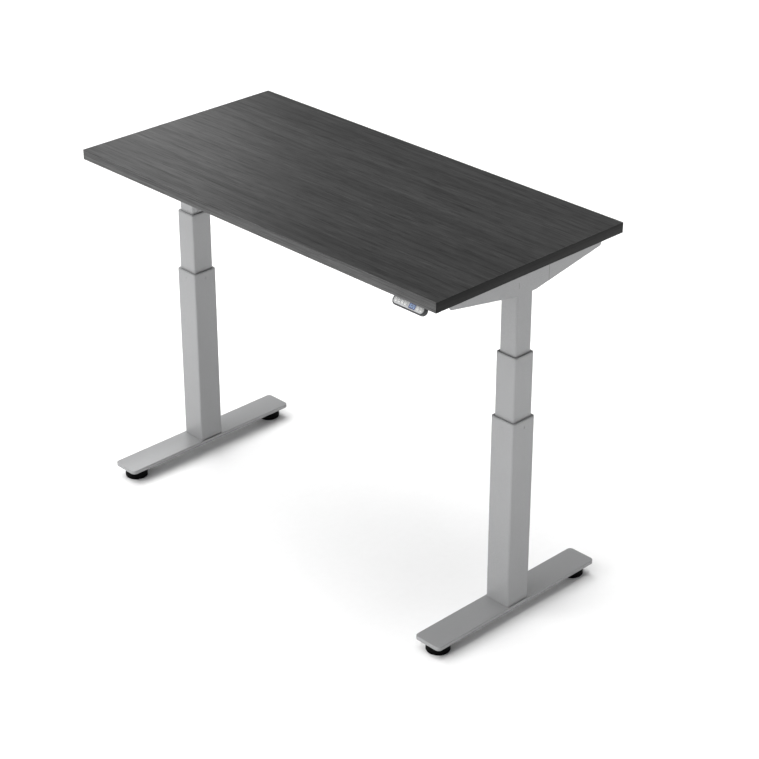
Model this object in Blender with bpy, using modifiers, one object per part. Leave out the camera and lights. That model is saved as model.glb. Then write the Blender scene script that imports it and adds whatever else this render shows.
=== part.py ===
"""Height adjustable standing desk on two motor columns, each with three telescoping stages.

Metres, +Z up. The origin is on the floor under the middle of the top, and the user sits on
the -Y side. The desk is modelled part of the way up its travel, so each middle tube stands
half as far out of its outer tube as the top has risen.
"""

import math

import bmesh
import bpy
from mathutils import Matrix, Vector

# Clearances
GAP = 0.0003
RUN = 0.00035

# Desktop
TOP_LENGTH = 1.2
TOP_DEPTH = 0.6
TOP_THICKNESS = 0.025
EDGE_BAND = 0.001
DESK_HEIGHT = 0.92
LOWEST_HEIGHT = 0.625

# Feet
COLUMN_INSET = 0.0454
FOOT_LENGTH = 0.54
FOOT_SHOULDER = 0.004
FOOT_THICKNESS = 0.010
FOOT_CORNER = 0.011
FOOT_EDGE = 0.0012
GLIDE_INSET = 0.0385
GLIDE_RADIUS = 0.029
GLIDE_PUCK = 0.0215
GLIDE_TRAVEL = 0.006
GLIDE_SPARE = 0.0005
GLIDE_CORNER = 0.003
STUD_RADIUS = 0.004
STUD_LENGTH = 0.0185
BOLT_RADIUS = 0.004
BOLT_INSET = 0.013

# Telescoping tubes, from the foot up
OUTER_SIZE = 0.070
TUBE_STEP = 0.010
TUBE_WALL = 0.002
TUBE_CORNER = 0.0045
OUTER_LENGTH = 0.4837
MIDDLE_LENGTH = 0.454
INNER_LENGTH = 0.4427
MIDDLE_START = 0.0445

# Plastic guides between the tubes
COLLAR_RIM = 0.0025
COLLAR_SLEEVE = 0.030
COLLAR_INSET = 0.0003
LUG_DROP = 0.0155
LUG_WIDTH = 0.0036
LUG_HEIGHT = 0.007
SLIDER_PLUG = 0.011
SLIDER_FLANGE = 0.010

# Nested spindles on the column's axis
BASE_THICKNESS = 0.012
POST_HEIGHT = 0.365
POST_WALL = 0.0022
NUT_HEIGHT = 0.020
HOLLOW_SCREW_WALL = 0.0027
HOLLOW_SCREW_LENGTH = 0.358
THRUST_HEIGHT = 0.006
CARRIER_WALL = 0.0022
CARRIER_LENGTH = 0.348
CARRIER_CAP = 0.018
DRIVE_SCREW_RADIUS = 0.006
DRIVE_SCREW_LENGTH = 0.492
DRIVE_SCREW_SEAT = 0.020
THREAD_CLEARANCE = 0.0004
SPINDLE_CLEARANCE = 0.0008

# Side brackets and cross rails under the top
BRACKET_ROOM = 0.0025
BRACKET_SETBACK = 0.057
BRACKET_DEPTH = 0.055
BRACKET_FLAT = 0.056
BRACKET_TIP = 0.0165
BRACKET_TIP_CORNER = 0.007
BRACKET_SHEET = 0.0025
BRACKET_SCREW_INSETS = (0.028, 0.118)
SCREW_HOLE_RADIUS = 0.003
RAIL_HEIGHT = 0.040
RAIL_FLANGE = 0.022
RAIL_SHEET = 0.002
RAIL_OFFSET = 0.050
RAIL_END_WIDTH = 0.030
RAIL_END_SHEET = 0.003
RAIL_END_OVERLAP = 0.0006
RAIL_SCREW_SPACING = 0.25

# Motors
GEARBOX_SIDE_STEP = 0.001
GEARBOX_END_STEP = 0.005
GEARBOX_CORNER = 0.006
GEARBOX_LIFT = 0.005
GEARBOX_PLUG = 0.015
MOTOR_DROP = 0.029
MOTOR_RADIUS = 0.021
MOTOR_CAN_STEP = 0.0015
MOTOR_LENGTH = 0.105
MOTOR_FLANGE = 0.006
MOTOR_CAP = 0.012
MOTOR_CAP_BEVEL = 0.002
MOTOR_WINDOW_GAP = 0.0015

# Control box
CONTROL_BEHIND_RAIL = 0.053
CONTROL_LENGTH = 0.26
CONTROL_WIDTH = 0.10
CONTROL_DEPTH = 0.033
CONTROL_WALL = 0.0025
CONTROL_CORNER = 0.006
CONTROL_EAR = 0.020
CONTROL_BASE = 0.003
CONTROL_SCREW_INSET = 0.009
BOARD_MARGIN = 0.006
BOARD_LIFT = 0.004
BOARD_THICKNESS = 0.0016
TRANSFORMER = (0.045, 0.040, 0.020)
TRANSFORMER_AT = (-0.065, 0.015)
HEAT_SINK = (0.050, 0.012, 0.018)
HEAT_SINK_AT = (0.060, 0.022)
CAPACITOR_RADIUS = 0.008
CAPACITOR_HEIGHT = 0.019
CAPACITOR_AT = (0.0, 0.018)
STANDOFF_RADIUS = 0.003
STANDOFF_INSET = 0.005
STANDOFF_Y = -0.03
PLUG_WIDTH = 0.013
PLUG_HEIGHT = 0.008
PLUG_LENGTH = 0.018
PLUG_SEAT = 0.008
PLUG_DROP = 0.012
MOTOR_PLUG_X = 0.09
HANDSET_PLUG_X = 0.04
INLET_WIDTH = 0.030
INLET_HEIGHT = 0.022
INLET_DEPTH = 0.020
INLET_LIP = 0.003
INLET_LIP_THICKNESS = 0.002
INLET_SOCKET_WIDTH = 0.025
INLET_SOCKET_HEIGHT = 0.0165
INLET_SOCKET_DEPTH = 0.016
PIN_SPACING = 0.007
PIN_RISE = 0.0045
PIN_WIDTH = 0.002
PIN_HEIGHT = 0.004
PIN_LENGTH = 0.012
PIN_ROOT = 0.002
INLET_BRIDGE_INSET = 0.0005

# Handset under the front edge, leaning back as it rises
HANDSET_INSET = 0.0875
HANDSET_LEAN = math.radians(35)
HANDSET_LENGTH = 0.096
HANDSET_WIDTH = 0.024
HANDSET_THICKNESS = 0.013
HANDSET_DROP = 0.0205
HANDSET_RIM = 0.0033
HANDSET_FACE = 0.0018
HANDSET_FACE_SINK = 0.0002
HANDSET_LEDGE = 0.0015
HANDSET_POCKET = 0.009
DISPLAY_PLACE = 0.115
DISPLAY_WIDTH = 0.019
DISPLAY_HEIGHT = 0.0125
DISPLAY_CORNER = 0.001
DISPLAY_LIP = 0.001
KEY_WIDTH = 0.0062
KEY_HEIGHT = 0.0088
KEY_PROUD = 0.001
KEY_FLANGE = 0.0007
KEY_FLANGE_THICKNESS = 0.001
KEY_TRAVEL = 0.0006
KEY_PLACES = {
    "key_down": -0.381,
    "key_up": -0.284,
    "key_1": -0.187,
    "key_2": -0.090,
    "key_3": 0.290,
    "key_memory": 0.386,
}
HANDSET_BOARD_MARGIN = 0.0006
HANDSET_BOARD_THICKNESS = 0.0016
HANDSET_BOARD_SINK = 0.0085
SWITCH_SIZE = 0.0035
MOUNT_LENGTH = 0.048
MOUNT_SHOULDER = 0.001
MOUNT_SHEET = 0.0025
MOUNT_WING_LOW = -0.009
MOUNT_WING_HIGH = 0.0205
MOUNT_PLATE_FRONT = 0.0185
MOUNT_PLATE_BACK = 0.050

# Leads
MOTOR_LEAD_RADIUS = 0.0025
HANDSET_LEAD_RADIUS = 0.002
LEAD_HOLE_RADIUS = 0.006
LEAD_HOLE_PAST_MOTOR = 0.053
LEAD_HOLE_SPACING = 0.070
LEAD_HOLE_DROP = 0.022
LEAD_EXIT_INSET = 0.012
LEAD_POINT_SPACING = 0.013
MOTOR_LEAD_LANE = 0.026
HANDSET_LEAD_LANE = 0.038

# Mesh fineness
CORNER_STEPS = 3
ROUND_STEPS = 20
HOLE_STEPS = 12
END_STEPS = 7
SMOOTH_ANGLE = math.radians(35)

# Finishes: base colour, roughness, metallic
SILVER_PAINT = ((0.41, 0.42, 0.42), 0.45, 0.5)
DARK_LAMINATE = ((0.045, 0.045, 0.046), 0.5, 0.0)
DARK_EDGE = ((0.05, 0.05, 0.052), 0.5, 0.0)
BLACK_PLASTIC = ((0.012, 0.012, 0.013), 0.5, 0.0)
DARK_PLASTIC = ((0.03, 0.031, 0.033), 0.45, 0.0)
PALE_PLASTIC = ((0.55, 0.56, 0.57), 0.4, 0.0)
WHITE_PLASTIC = ((0.75, 0.75, 0.73), 0.35, 0.0)
BLUE_WINDOW = ((0.02, 0.05, 0.35), 0.15, 0.0)
STEEL = ((0.55, 0.55, 0.56), 0.3, 1.0)
ZINC = ((0.48, 0.49, 0.5), 0.4, 1.0)
CAST_ALUMINIUM = ((0.35, 0.35, 0.36), 0.55, 1.0)
CIRCUIT_BOARD = ((0.03, 0.16, 0.07), 0.4, 0.0)
BLACK_LEAD = ((0.015, 0.015, 0.016), 0.55, 0.0)

# Derived heights and places
UNDERSIDE = DESK_HEIGHT - TOP_THICKNESS
COLUMN_X = TOP_LENGTH / 2 - COLUMN_INSET
MIDDLE_SIZE = OUTER_SIZE - TUBE_STEP
INNER_SIZE = MIDDLE_SIZE - TUBE_STEP
FOOT_WIDTH = OUTER_SIZE + 2 * FOOT_SHOULDER
BOLT_SPACING = OUTER_SIZE - 2 * BOLT_INSET
FOOT_BOTTOM = GLIDE_PUCK + GLIDE_TRAVEL + GLIDE_SPARE
FOOT_TOP = FOOT_BOTTOM + FOOT_THICKNESS
STAGE_RISE = (DESK_HEIGHT - LOWEST_HEIGHT) / 2
OUTER_BOTTOM = FOOT_TOP + GAP
OUTER_TOP = OUTER_BOTTOM + OUTER_LENGTH
MIDDLE_BOTTOM = FOOT_TOP + MIDDLE_START + STAGE_RISE
MIDDLE_TOP = MIDDLE_BOTTOM + MIDDLE_LENGTH
BASE_TOP = OUTER_BOTTOM + BASE_THICKNESS
POST_TOP = FOOT_TOP + POST_HEIGHT
THRUST_FACE = MIDDLE_BOTTOM + CARRIER_LENGTH - CARRIER_CAP
HOLLOW_SCREW_BORE = DRIVE_SCREW_RADIUS + SPINDLE_CLEARANCE
HOLLOW_SCREW_RADIUS = HOLLOW_SCREW_BORE + HOLLOW_SCREW_WALL
POST_BORE = HOLLOW_SCREW_RADIUS + SPINDLE_CLEARANCE
POST_RADIUS = POST_BORE + POST_WALL
CARRIER_BORE = POST_RADIUS + SPINDLE_CLEARANCE
CARRIER_RADIUS = CARRIER_BORE + CARRIER_WALL
THRUST_RADIUS = CARRIER_BORE - SPINDLE_CLEARANCE
BRACKET_LENGTH = TOP_DEPTH - 2 * BRACKET_SETBACK
GEARBOX_WIDTH = INNER_SIZE + 2 * GEARBOX_SIDE_STEP
GEARBOX_DEPTH = INNER_SIZE + 2 * GEARBOX_END_STEP
BRACKET_WIDTH = GEARBOX_WIDTH + 2 * (BRACKET_ROOM + BRACKET_SHEET)
GEARBOX_BOTTOM = UNDERSIDE - BRACKET_DEPTH + GEARBOX_LIFT
GEARBOX_TOP = UNDERSIDE - GAP - BRACKET_SHEET - GAP
INNER_TOP = GEARBOX_BOTTOM - GAP
INNER_BOTTOM = INNER_TOP - INNER_LENGTH
CONTROL_BASE_BOTTOM = UNDERSIDE - GAP - CONTROL_BASE
CONTROL_TOP = CONTROL_BASE_BOTTOM - GAP
CONTROL_BOTTOM = CONTROL_TOP - CONTROL_DEPTH
CONTROL_FRONT = RAIL_OFFSET + RAIL_FLANGE + CONTROL_BEHIND_RAIL
CONTROL_Y = CONTROL_FRONT + CONTROL_WIDTH / 2
PLUG_Z = CONTROL_TOP - PLUG_DROP
RAIL_REACH = COLUMN_X - BRACKET_WIDTH / 2 - GAP
MOTOR_START = GEARBOX_WIDTH / 2 + GAP
MOTOR_END_X = COLUMN_X - MOTOR_START - MOTOR_LENGTH - GAP
MOTOR_LEAD_HOLE_X = MOTOR_END_X - LEAD_HOLE_PAST_MOTOR
HANDSET_LEAD_HOLE_X = MOTOR_LEAD_HOLE_X - LEAD_HOLE_SPACING
HANDSET_X = TOP_LENGTH / 2 - HANDSET_INSET
DISPLAY_X = DISPLAY_PLACE * HANDSET_LENGTH
KEYS = {name: place * HANDSET_LENGTH for name, place in KEY_PLACES.items()}

SIDES = {"left": -1, "right": 1}
UPRIGHT_TO_X = Matrix.Rotation(math.pi / 2, 4, "Y")
UPRIGHT_TO_Y = Matrix.Rotation(-math.pi / 2, 4, "X")
PROFILE_TO_YZ = Matrix(((0, 0, 1, 0), (1, 0, 0, 0), (0, 1, 0, 0), (0, 0, 0, 1)))


# --- scene ---------------------------------------------------------------------------


def clear_scene():
    for obj in list(bpy.data.objects):
        bpy.data.objects.remove(obj, do_unlink=True)


def new_collection(name):
    made = bpy.data.collections.new(name)
    bpy.context.scene.collection.children.link(made)
    return made


def own_material(name, finish):
    """A material of the piece's own, from a finish's colour, roughness and metallic value."""
    colour, roughness, metallic = finish
    made = bpy.data.materials.new(name)
    made.use_nodes = True
    shader = made.node_tree.nodes["Principled BSDF"]
    shader.inputs["Base Color"].default_value = (*colour, 1.0)
    shader.inputs["Roughness"].default_value = roughness
    shader.inputs["Metallic"].default_value = metallic
    made.diffuse_color = (*colour, 1.0)
    return made


def to_mesh(name, shape):
    """The bmesh as a mesh, smooth on its round faces and sharp at its edges."""
    mesh = bpy.data.meshes.new(name)
    shape.to_mesh(mesh)
    shape.free()
    mesh.shade_smooth()
    mesh.set_sharp_from_angle(angle=SMOOTH_ANGLE)
    return mesh


def add_part(name, shape, finish, at=(0, 0, 0), parent=None):
    obj = bpy.data.objects.new(name, to_mesh(name, shape))
    obj.location = at
    obj.parent = parent
    obj.data.materials.append(own_material(name, finish))
    parts.objects.link(obj)
    return obj


def add_empty(name, at, turn=(0, 0, 0)):
    made = bpy.data.objects.new(name, None)
    made.location = at
    made.rotation_euler = turn
    made.empty_display_size = 0.02
    parts.objects.link(made)
    return made


def combine(obj, operation, shape):
    """Adds or removes a shape that is given in the piece's own frame."""
    name = f"{obj.name}_{operation.lower()}_{len(obj.modifiers) + 1}"
    helper = bpy.data.objects.new(name, to_mesh(name, shape))
    helper.location = obj.location
    helper.parent = obj.parent
    helper.hide_render = True
    helper.display_type = "WIRE"
    cutters.objects.link(helper)
    boolean = obj.modifiers.new(name, "BOOLEAN")
    boolean.operation = operation
    boolean.solver = "EXACT"
    boolean.object = helper


def cut(obj, shape):
    combine(obj, "DIFFERENCE", shape)


def join(obj, shape):
    combine(obj, "UNION", shape)


# --- shapes --------------------------------------------------------------------------


def moved(shape, matrix):
    bmesh.ops.transform(shape, matrix=matrix, verts=shape.verts)
    return shape


def block(size, low_z, at=(0, 0), corner=0.0, edge=0.0):
    """A box that stands on low_z, with its upright corners and then its rims rounded."""
    width, depth, height = size
    shape = bmesh.new()
    bmesh.ops.create_cube(shape, size=1.0)
    bmesh.ops.scale(shape, vec=(width, depth, height), verts=shape.verts)
    bmesh.ops.translate(shape, vec=(at[0], at[1], low_z + height / 2), verts=shape.verts)
    if corner:
        upright = [e for e in shape.edges if abs(e.verts[0].co.z - e.verts[1].co.z) > height / 2]
        bmesh.ops.bevel(
            shape, geom=upright, offset=corner, segments=CORNER_STEPS, profile=0.5, affect="EDGES"
        )
    if edge:
        rims = [e for e in shape.edges if abs(e.verts[0].co.z - e.verts[1].co.z) < height / 2]
        bmesh.ops.bevel(shape, geom=rims, offset=edge, segments=2, profile=0.5, affect="EDGES")
    return shape


def rod(radius, low_z, high_z, at=(0, 0), steps=ROUND_STEPS):
    shape = bmesh.new()
    bmesh.ops.create_cone(
        shape,
        cap_ends=True,
        segments=steps,
        radius1=radius,
        radius2=radius,
        depth=high_z - low_z,
    )
    bmesh.ops.translate(shape, vec=(at[0], at[1], (low_z + high_z) / 2), verts=shape.verts)
    return shape


def evaluated_shape(helper):
    """The evaluated mesh of a helper object as a bmesh. The helper is removed."""
    bpy.context.scene.collection.objects.link(helper)
    graph = bpy.context.evaluated_depsgraph_get()
    mesh = bpy.data.meshes.new_from_object(helper.evaluated_get(graph))
    shape = bmesh.new()
    shape.from_mesh(mesh)
    bmesh.ops.remove_doubles(shape, verts=shape.verts, dist=1e-6)
    bmesh.ops.recalc_face_normals(shape, faces=shape.faces)
    bpy.data.meshes.remove(mesh)
    bpy.data.objects.remove(helper, do_unlink=True)
    return shape


def extruded(loops, depth):
    """A flat outline with its holes, from z = 0 to depth."""
    curve = bpy.data.curves.new("outline", "CURVE")
    curve.dimensions = "2D"
    curve.fill_mode = "BOTH"
    curve.extrude = depth / 2
    for loop in loops:
        spline = curve.splines.new("POLY")
        spline.points.add(len(loop) - 1)
        for point, (x, y) in zip(spline.points, loop):
            point.co = (x, y, 0, 1)
        spline.use_cyclic_u = True
    shape = evaluated_shape(bpy.data.objects.new("outline", curve))
    bmesh.ops.translate(shape, vec=(0, 0, depth / 2), verts=shape.verts)
    return shape


def turned(profile, steps=ROUND_STEPS):
    """A profile of (radius, z) points, run down its outer side, turned about +Z."""
    sketch = bmesh.new()
    points = [sketch.verts.new((radius, 0, z)) for radius, z in profile]
    for start, end in zip(points, points[1:]):
        sketch.edges.new((start, end))
    mesh = bpy.data.meshes.new("profile")
    sketch.to_mesh(mesh)
    sketch.free()
    helper = bpy.data.objects.new("profile", mesh)
    screw = helper.modifiers.new("turn", "SCREW")
    screw.steps = steps
    screw.render_steps = steps
    screw.use_merge_vertices = True
    screw.merge_threshold = 0.00001
    return evaluated_shape(helper)


def rounded(corners, radii):
    """A closed outline through the corners, each turned into an arc of its radius."""
    outline = []
    for index, (corner, radius) in enumerate(zip(corners, radii)):
        point = Vector(corner)
        if radius == 0:
            outline.append(point)
            continue
        before = (Vector(corners[index - 1]) - point).normalized()
        after = (Vector(corners[(index + 1) % len(corners)]) - point).normalized()
        half = before.angle(after) / 2
        centre = point + (before + after).normalized() * radius / math.sin(half)
        reach = radius / math.tan(half)
        start = point + before * reach - centre
        end = point + after * reach - centre
        first = math.atan2(start.y, start.x)
        sweep = math.atan2(start.x * end.y - start.y * end.x, start.dot(end))
        for step in range(CORNER_STEPS + 1):
            angle = first + sweep * step / CORNER_STEPS
            outline.append(centre + radius * Vector((math.cos(angle), math.sin(angle))))
    return outline


def rectangle(width, depth, radius=0.0, at=(0, 0)):
    x, y = width / 2, depth / 2
    corners = [(x, y), (-x, y), (-x, -y), (x, -y)]
    return rounded([(a + at[0], b + at[1]) for a, b in corners], [radius] * 4)


def stadium(length, width, at=(0, 0)):
    """A rectangle with half-round ends, long along its first axis."""
    radius = width / 2
    reach = length / 2 - radius
    outline = []
    for end in (1, -1):
        for step in range(END_STEPS + 1):
            angle = math.pi * (step / END_STEPS - 0.5)
            x = end * (reach + radius * math.cos(angle))
            y = end * radius * math.sin(angle)
            outline.append((at[0] + x, at[1] + y))
    return outline


def upright_stadium(width, height, at=(0, 0)):
    return [(at[0] - y, at[1] + x) for x, y in stadium(height, width)]


def smooth_route(points, spacing):
    """Points about spacing apart on a smooth curve through the route's own points."""
    points = [Vector(point) for point in points]
    padded = [2 * points[0] - points[1], *points, 2 * points[-1] - points[-2]]
    route = []
    for a, b, c, d in zip(padded, padded[1:], padded[2:], padded[3:]):
        steps = max(1, round((c - b).length / spacing))
        for step in range(steps):
            t = step / steps
            bend = (2 * a - 5 * b + 4 * c - d) * t**2 + (3 * b - a - 3 * c + d) * t**3
            route.append((2 * b + (c - a) * t + bend) / 2)
    return [*route, points[-1]]


def add_lead(name, route, radius):
    curve = bpy.data.curves.new(name, "CURVE")
    curve.dimensions = "3D"
    curve.bevel_depth = radius
    curve.bevel_resolution = 2
    curve.use_fill_caps = True
    points = smooth_route(route, LEAD_POINT_SPACING)
    spline = curve.splines.new("POLY")
    spline.points.add(len(points) - 1)
    for point, place in zip(spline.points, points):
        point.co = (*place, 1)
    obj = bpy.data.objects.new(name, curve)
    curve.materials.append(own_material(name, BLACK_LEAD))
    parts.objects.link(obj)


# --- desktop -------------------------------------------------------------------------


def make_desktop():
    panel_length = TOP_LENGTH - 2 * (EDGE_BAND + GAP)
    panel_depth = TOP_DEPTH - 2 * (EDGE_BAND + GAP)
    panel = block((panel_length, panel_depth, TOP_THICKNESS), UNDERSIDE)
    add_part("desktop_panel", panel, DARK_LAMINATE)
    inside = rectangle(TOP_LENGTH - 2 * EDGE_BAND, TOP_DEPTH - 2 * EDGE_BAND)
    band = extruded([rectangle(TOP_LENGTH, TOP_DEPTH), inside], TOP_THICKNESS)
    add_part("edge_band", band, DARK_EDGE, at=(0, 0, UNDERSIDE))


# --- feet ----------------------------------------------------------------------------


def make_foot(side, sign):
    """The foot plate with its two welded levelling studs, and the glides on them."""
    column = (sign * COLUMN_X, 0, 0)
    size = (FOOT_WIDTH, FOOT_LENGTH, FOOT_THICKNESS)
    plate = add_part(
        f"{side}_foot_plate",
        block(size, FOOT_BOTTOM, corner=FOOT_CORNER, edge=FOOT_EDGE),
        SILVER_PAINT,
        at=column,
    )
    half = BOLT_SPACING / 2
    for x, y in ((half, half), (-half, half), (-half, -half), (half, -half)):
        hole = rod(BOLT_RADIUS + GAP, 0, FOOT_TOP * 2, at=(x, y), steps=HOLE_STEPS)
        cut(plate, hole)
    glide_y = FOOT_LENGTH / 2 - GLIDE_INSET
    for end, y in (("front", -glide_y), ("rear", glide_y)):
        stud_bottom = FOOT_BOTTOM - STUD_LENGTH
        stud_top = FOOT_BOTTOM + FOOT_THICKNESS / 2
        join(plate, rod(STUD_RADIUS, stud_bottom, stud_top, at=(0, y), steps=HOLE_STEPS))
        add_part(f"{side}_{end}_glide", glide_shape(), BLACK_PLASTIC, at=(sign * COLUMN_X, y, 0))


def glide_shape():
    """A round puck with a blind threaded bore that takes the foot plate's stud."""
    bore = STUD_RADIUS + THREAD_CLEARANCE
    bore_bottom = FOOT_BOTTOM - STUD_LENGTH - GLIDE_TRAVEL - GLIDE_SPARE
    rim = GLIDE_RADIUS - GLIDE_CORNER / 2
    profile = [
        (0, bore_bottom),
        (bore, bore_bottom),
        (bore, GLIDE_PUCK),
        (rim, GLIDE_PUCK),
        (GLIDE_RADIUS, GLIDE_PUCK - GLIDE_CORNER / 2),
        (GLIDE_RADIUS, GLIDE_CORNER),
        (GLIDE_RADIUS - GLIDE_CORNER * 0.3, GLIDE_CORNER * 0.3),
        (GLIDE_RADIUS - GLIDE_CORNER, 0),
        (0, 0),
    ]
    return turned(profile, steps=ROUND_STEPS + 8)


# --- telescoping columns -------------------------------------------------------------


def make_tube(name, size, low_z, length, column):
    """A square tube with rounded corners."""
    inside = size - 2 * TUBE_WALL
    corner_inside = TUBE_CORNER - TUBE_WALL
    loops = [rectangle(size, size, TUBE_CORNER), rectangle(inside, inside, corner_inside)]
    at = (column[0], column[1], low_z)
    return add_part(name, extruded(loops, length), SILVER_PAINT, at=at)


def make_collar(name, tube_size, runner_size, tube_top, column, lugs):
    """A guide bush in a tube's mouth, with a thin rim on top, around the next tube."""
    inside = tube_size - 2 * TUBE_WALL
    sleeve_size = inside - 2 * GAP
    rim_size = tube_size - 2 * COLLAR_INSET
    rim_low = tube_top + GAP
    low = tube_top - COLLAR_SLEEVE
    corner = TUBE_CORNER - TUBE_WALL
    sleeve = block((sleeve_size, sleeve_size, COLLAR_SLEEVE + COLLAR_RIM / 2), low, corner=corner)
    collar = add_part(name, sleeve, DARK_PLASTIC, at=column)
    join(collar, block((rim_size, rim_size, COLLAR_RIM), rim_low, corner=TUBE_CORNER))
    if lugs:
        lug_reach = tube_size - 2 * COLLAR_INSET
        lug_low = tube_top - LUG_DROP - LUG_HEIGHT / 2 + GAP
        lug = (lug_reach, LUG_WIDTH - 2 * GAP, LUG_HEIGHT - 2 * GAP)
        join(collar, block(lug, lug_low))
        pin = rod(LUG_WIDTH / 2 - GAP, -lug_reach / 2, lug_reach / 2, steps=HOLE_STEPS)
        place = Matrix.Translation((0, 0, tube_top - LUG_DROP)) @ UPRIGHT_TO_Y
        join(collar, moved(pin, place))
    bore = runner_size + 2 * RUN
    cut(collar, block((bore, bore, 4 * COLLAR_SLEEVE), low - COLLAR_SLEEVE, corner=TUBE_CORNER))


def cut_lug_holes(tube, size, length):
    """A slot in the tube's left and right walls and a round hole in its front and rear."""
    slot = (2 * size, LUG_WIDTH, LUG_HEIGHT)
    cut(tube, block(slot, length - LUG_DROP - LUG_HEIGHT / 2))
    pin = rod(LUG_WIDTH / 2, -size, size, steps=HOLE_STEPS)
    cut(tube, moved(pin, Matrix.Translation((0, 0, length - LUG_DROP)) @ UPRIGHT_TO_Y))


def make_slider(name, tube_size, host_size, tube_bottom, bore_radius, column):
    """A plug in a tube's lower end, with a flange that runs in the tube around it."""
    corner = TUBE_CORNER - TUBE_WALL
    plug_size = tube_size - 2 * TUBE_WALL - 2 * GAP
    flange_size = host_size - 2 * TUBE_WALL - 2 * RUN
    low = tube_bottom - GAP - SLIDER_FLANGE
    flange = block((flange_size, flange_size, SLIDER_FLANGE), low, corner=corner)
    slider = add_part(name, flange, WHITE_PLASTIC, at=column)
    plug_height = SLIDER_PLUG + SLIDER_FLANGE / 2
    plug_low = tube_bottom + SLIDER_PLUG - plug_height
    join(slider, block((plug_size, plug_size, plug_height), plug_low, corner=corner))
    cut(slider, rod(bore_radius, low - SLIDER_PLUG, tube_bottom + 2 * SLIDER_PLUG))


def make_spindles(side, column):
    """The fixed post and nut, the carrier, and the two screws that turn inside them."""
    nut_bore = HOLLOW_SCREW_RADIUS + THREAD_CLEARANCE
    base_size = OUTER_SIZE - 2 * TUBE_WALL - 2 * GAP
    base = add_part(
        f"{side}_column_base",
        block((base_size, base_size, BASE_THICKNESS), OUTER_BOTTOM, corner=TUBE_CORNER - TUBE_WALL),
        STEEL,
        at=column,
    )
    post = [
        (0, BASE_TOP),
        (POST_BORE, BASE_TOP),
        (POST_BORE, POST_TOP - NUT_HEIGHT),
        (nut_bore, POST_TOP - NUT_HEIGHT),
        (nut_bore, POST_TOP),
        (POST_RADIUS, POST_TOP),
        (POST_RADIUS, BASE_TOP - BASE_THICKNESS / 2),
        (0, BASE_TOP - BASE_THICKNESS / 2),
    ]
    join(base, turned(post))
    half = BOLT_SPACING / 2
    for x, y in ((half, half), (-half, half), (-half, -half), (half, -half)):
        bolt_top = OUTER_BOTTOM + BASE_THICKNESS / 2
        join(base, rod(BOLT_RADIUS, FOOT_BOTTOM + GAP, bolt_top, at=(x, y), steps=HOLE_STEPS))

    carrier_bottom = MIDDLE_BOTTOM + SLIDER_PLUG + GAP
    carrier_top = MIDDLE_BOTTOM + CARRIER_LENGTH
    drive_nut = DRIVE_SCREW_RADIUS + THREAD_CLEARANCE
    carrier = [
        (CARRIER_BORE, carrier_bottom),
        (CARRIER_BORE, THRUST_FACE),
        (drive_nut, THRUST_FACE),
        (drive_nut, carrier_top),
        (CARRIER_RADIUS, carrier_top),
        (CARRIER_RADIUS, carrier_bottom),
        (CARRIER_BORE, carrier_bottom),
    ]
    add_part(f"{side}_carrier_tube", turned(carrier), ZINC, at=column)

    collar_top = THRUST_FACE - GAP
    collar_bottom = collar_top - THRUST_HEIGHT
    screw_bottom = collar_top - HOLLOW_SCREW_LENGTH
    hollow_screw = [
        (HOLLOW_SCREW_BORE, screw_bottom),
        (HOLLOW_SCREW_BORE, collar_top),
        (THRUST_RADIUS, collar_top),
        (THRUST_RADIUS, collar_bottom),
        (HOLLOW_SCREW_RADIUS, collar_bottom),
        (HOLLOW_SCREW_RADIUS, screw_bottom),
        (HOLLOW_SCREW_BORE, screw_bottom),
    ]
    add_part(f"{side}_hollow_screw", turned(hollow_screw), STEEL, at=column)

    drive_low = GEARBOX_BOTTOM - DRIVE_SCREW_LENGTH
    drive_high = GEARBOX_BOTTOM + DRIVE_SCREW_SEAT
    drive_screw = rod(DRIVE_SCREW_RADIUS, drive_low, drive_high)
    add_part(f"{side}_drive_screw", drive_screw, STEEL, at=column)


def make_column(side, sign):
    column = (sign * COLUMN_X, 0, 0)
    outer = make_tube(f"{side}_outer_tube", OUTER_SIZE, OUTER_BOTTOM, OUTER_LENGTH, column)
    cut_lug_holes(outer, OUTER_SIZE, OUTER_LENGTH)
    make_tube(f"{side}_middle_tube", MIDDLE_SIZE, MIDDLE_BOTTOM, MIDDLE_LENGTH, column)
    make_tube(f"{side}_inner_tube", INNER_SIZE, INNER_BOTTOM, INNER_LENGTH, column)
    make_collar(f"{side}_outer_collar", OUTER_SIZE, MIDDLE_SIZE, OUTER_TOP, column, True)
    make_collar(f"{side}_middle_collar", MIDDLE_SIZE, INNER_SIZE, MIDDLE_TOP, column, False)
    post_bore = POST_RADIUS + 2 * GAP
    carrier_bore = CARRIER_RADIUS + 2 * GAP
    make_slider(f"{side}_middle_slider", MIDDLE_SIZE, OUTER_SIZE, MIDDLE_BOTTOM, post_bore, column)
    make_slider(f"{side}_inner_slider", INNER_SIZE, MIDDLE_SIZE, INNER_BOTTOM, carrier_bore, column)
    make_spindles(side, column)


# --- motors --------------------------------------------------------------------------


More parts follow.
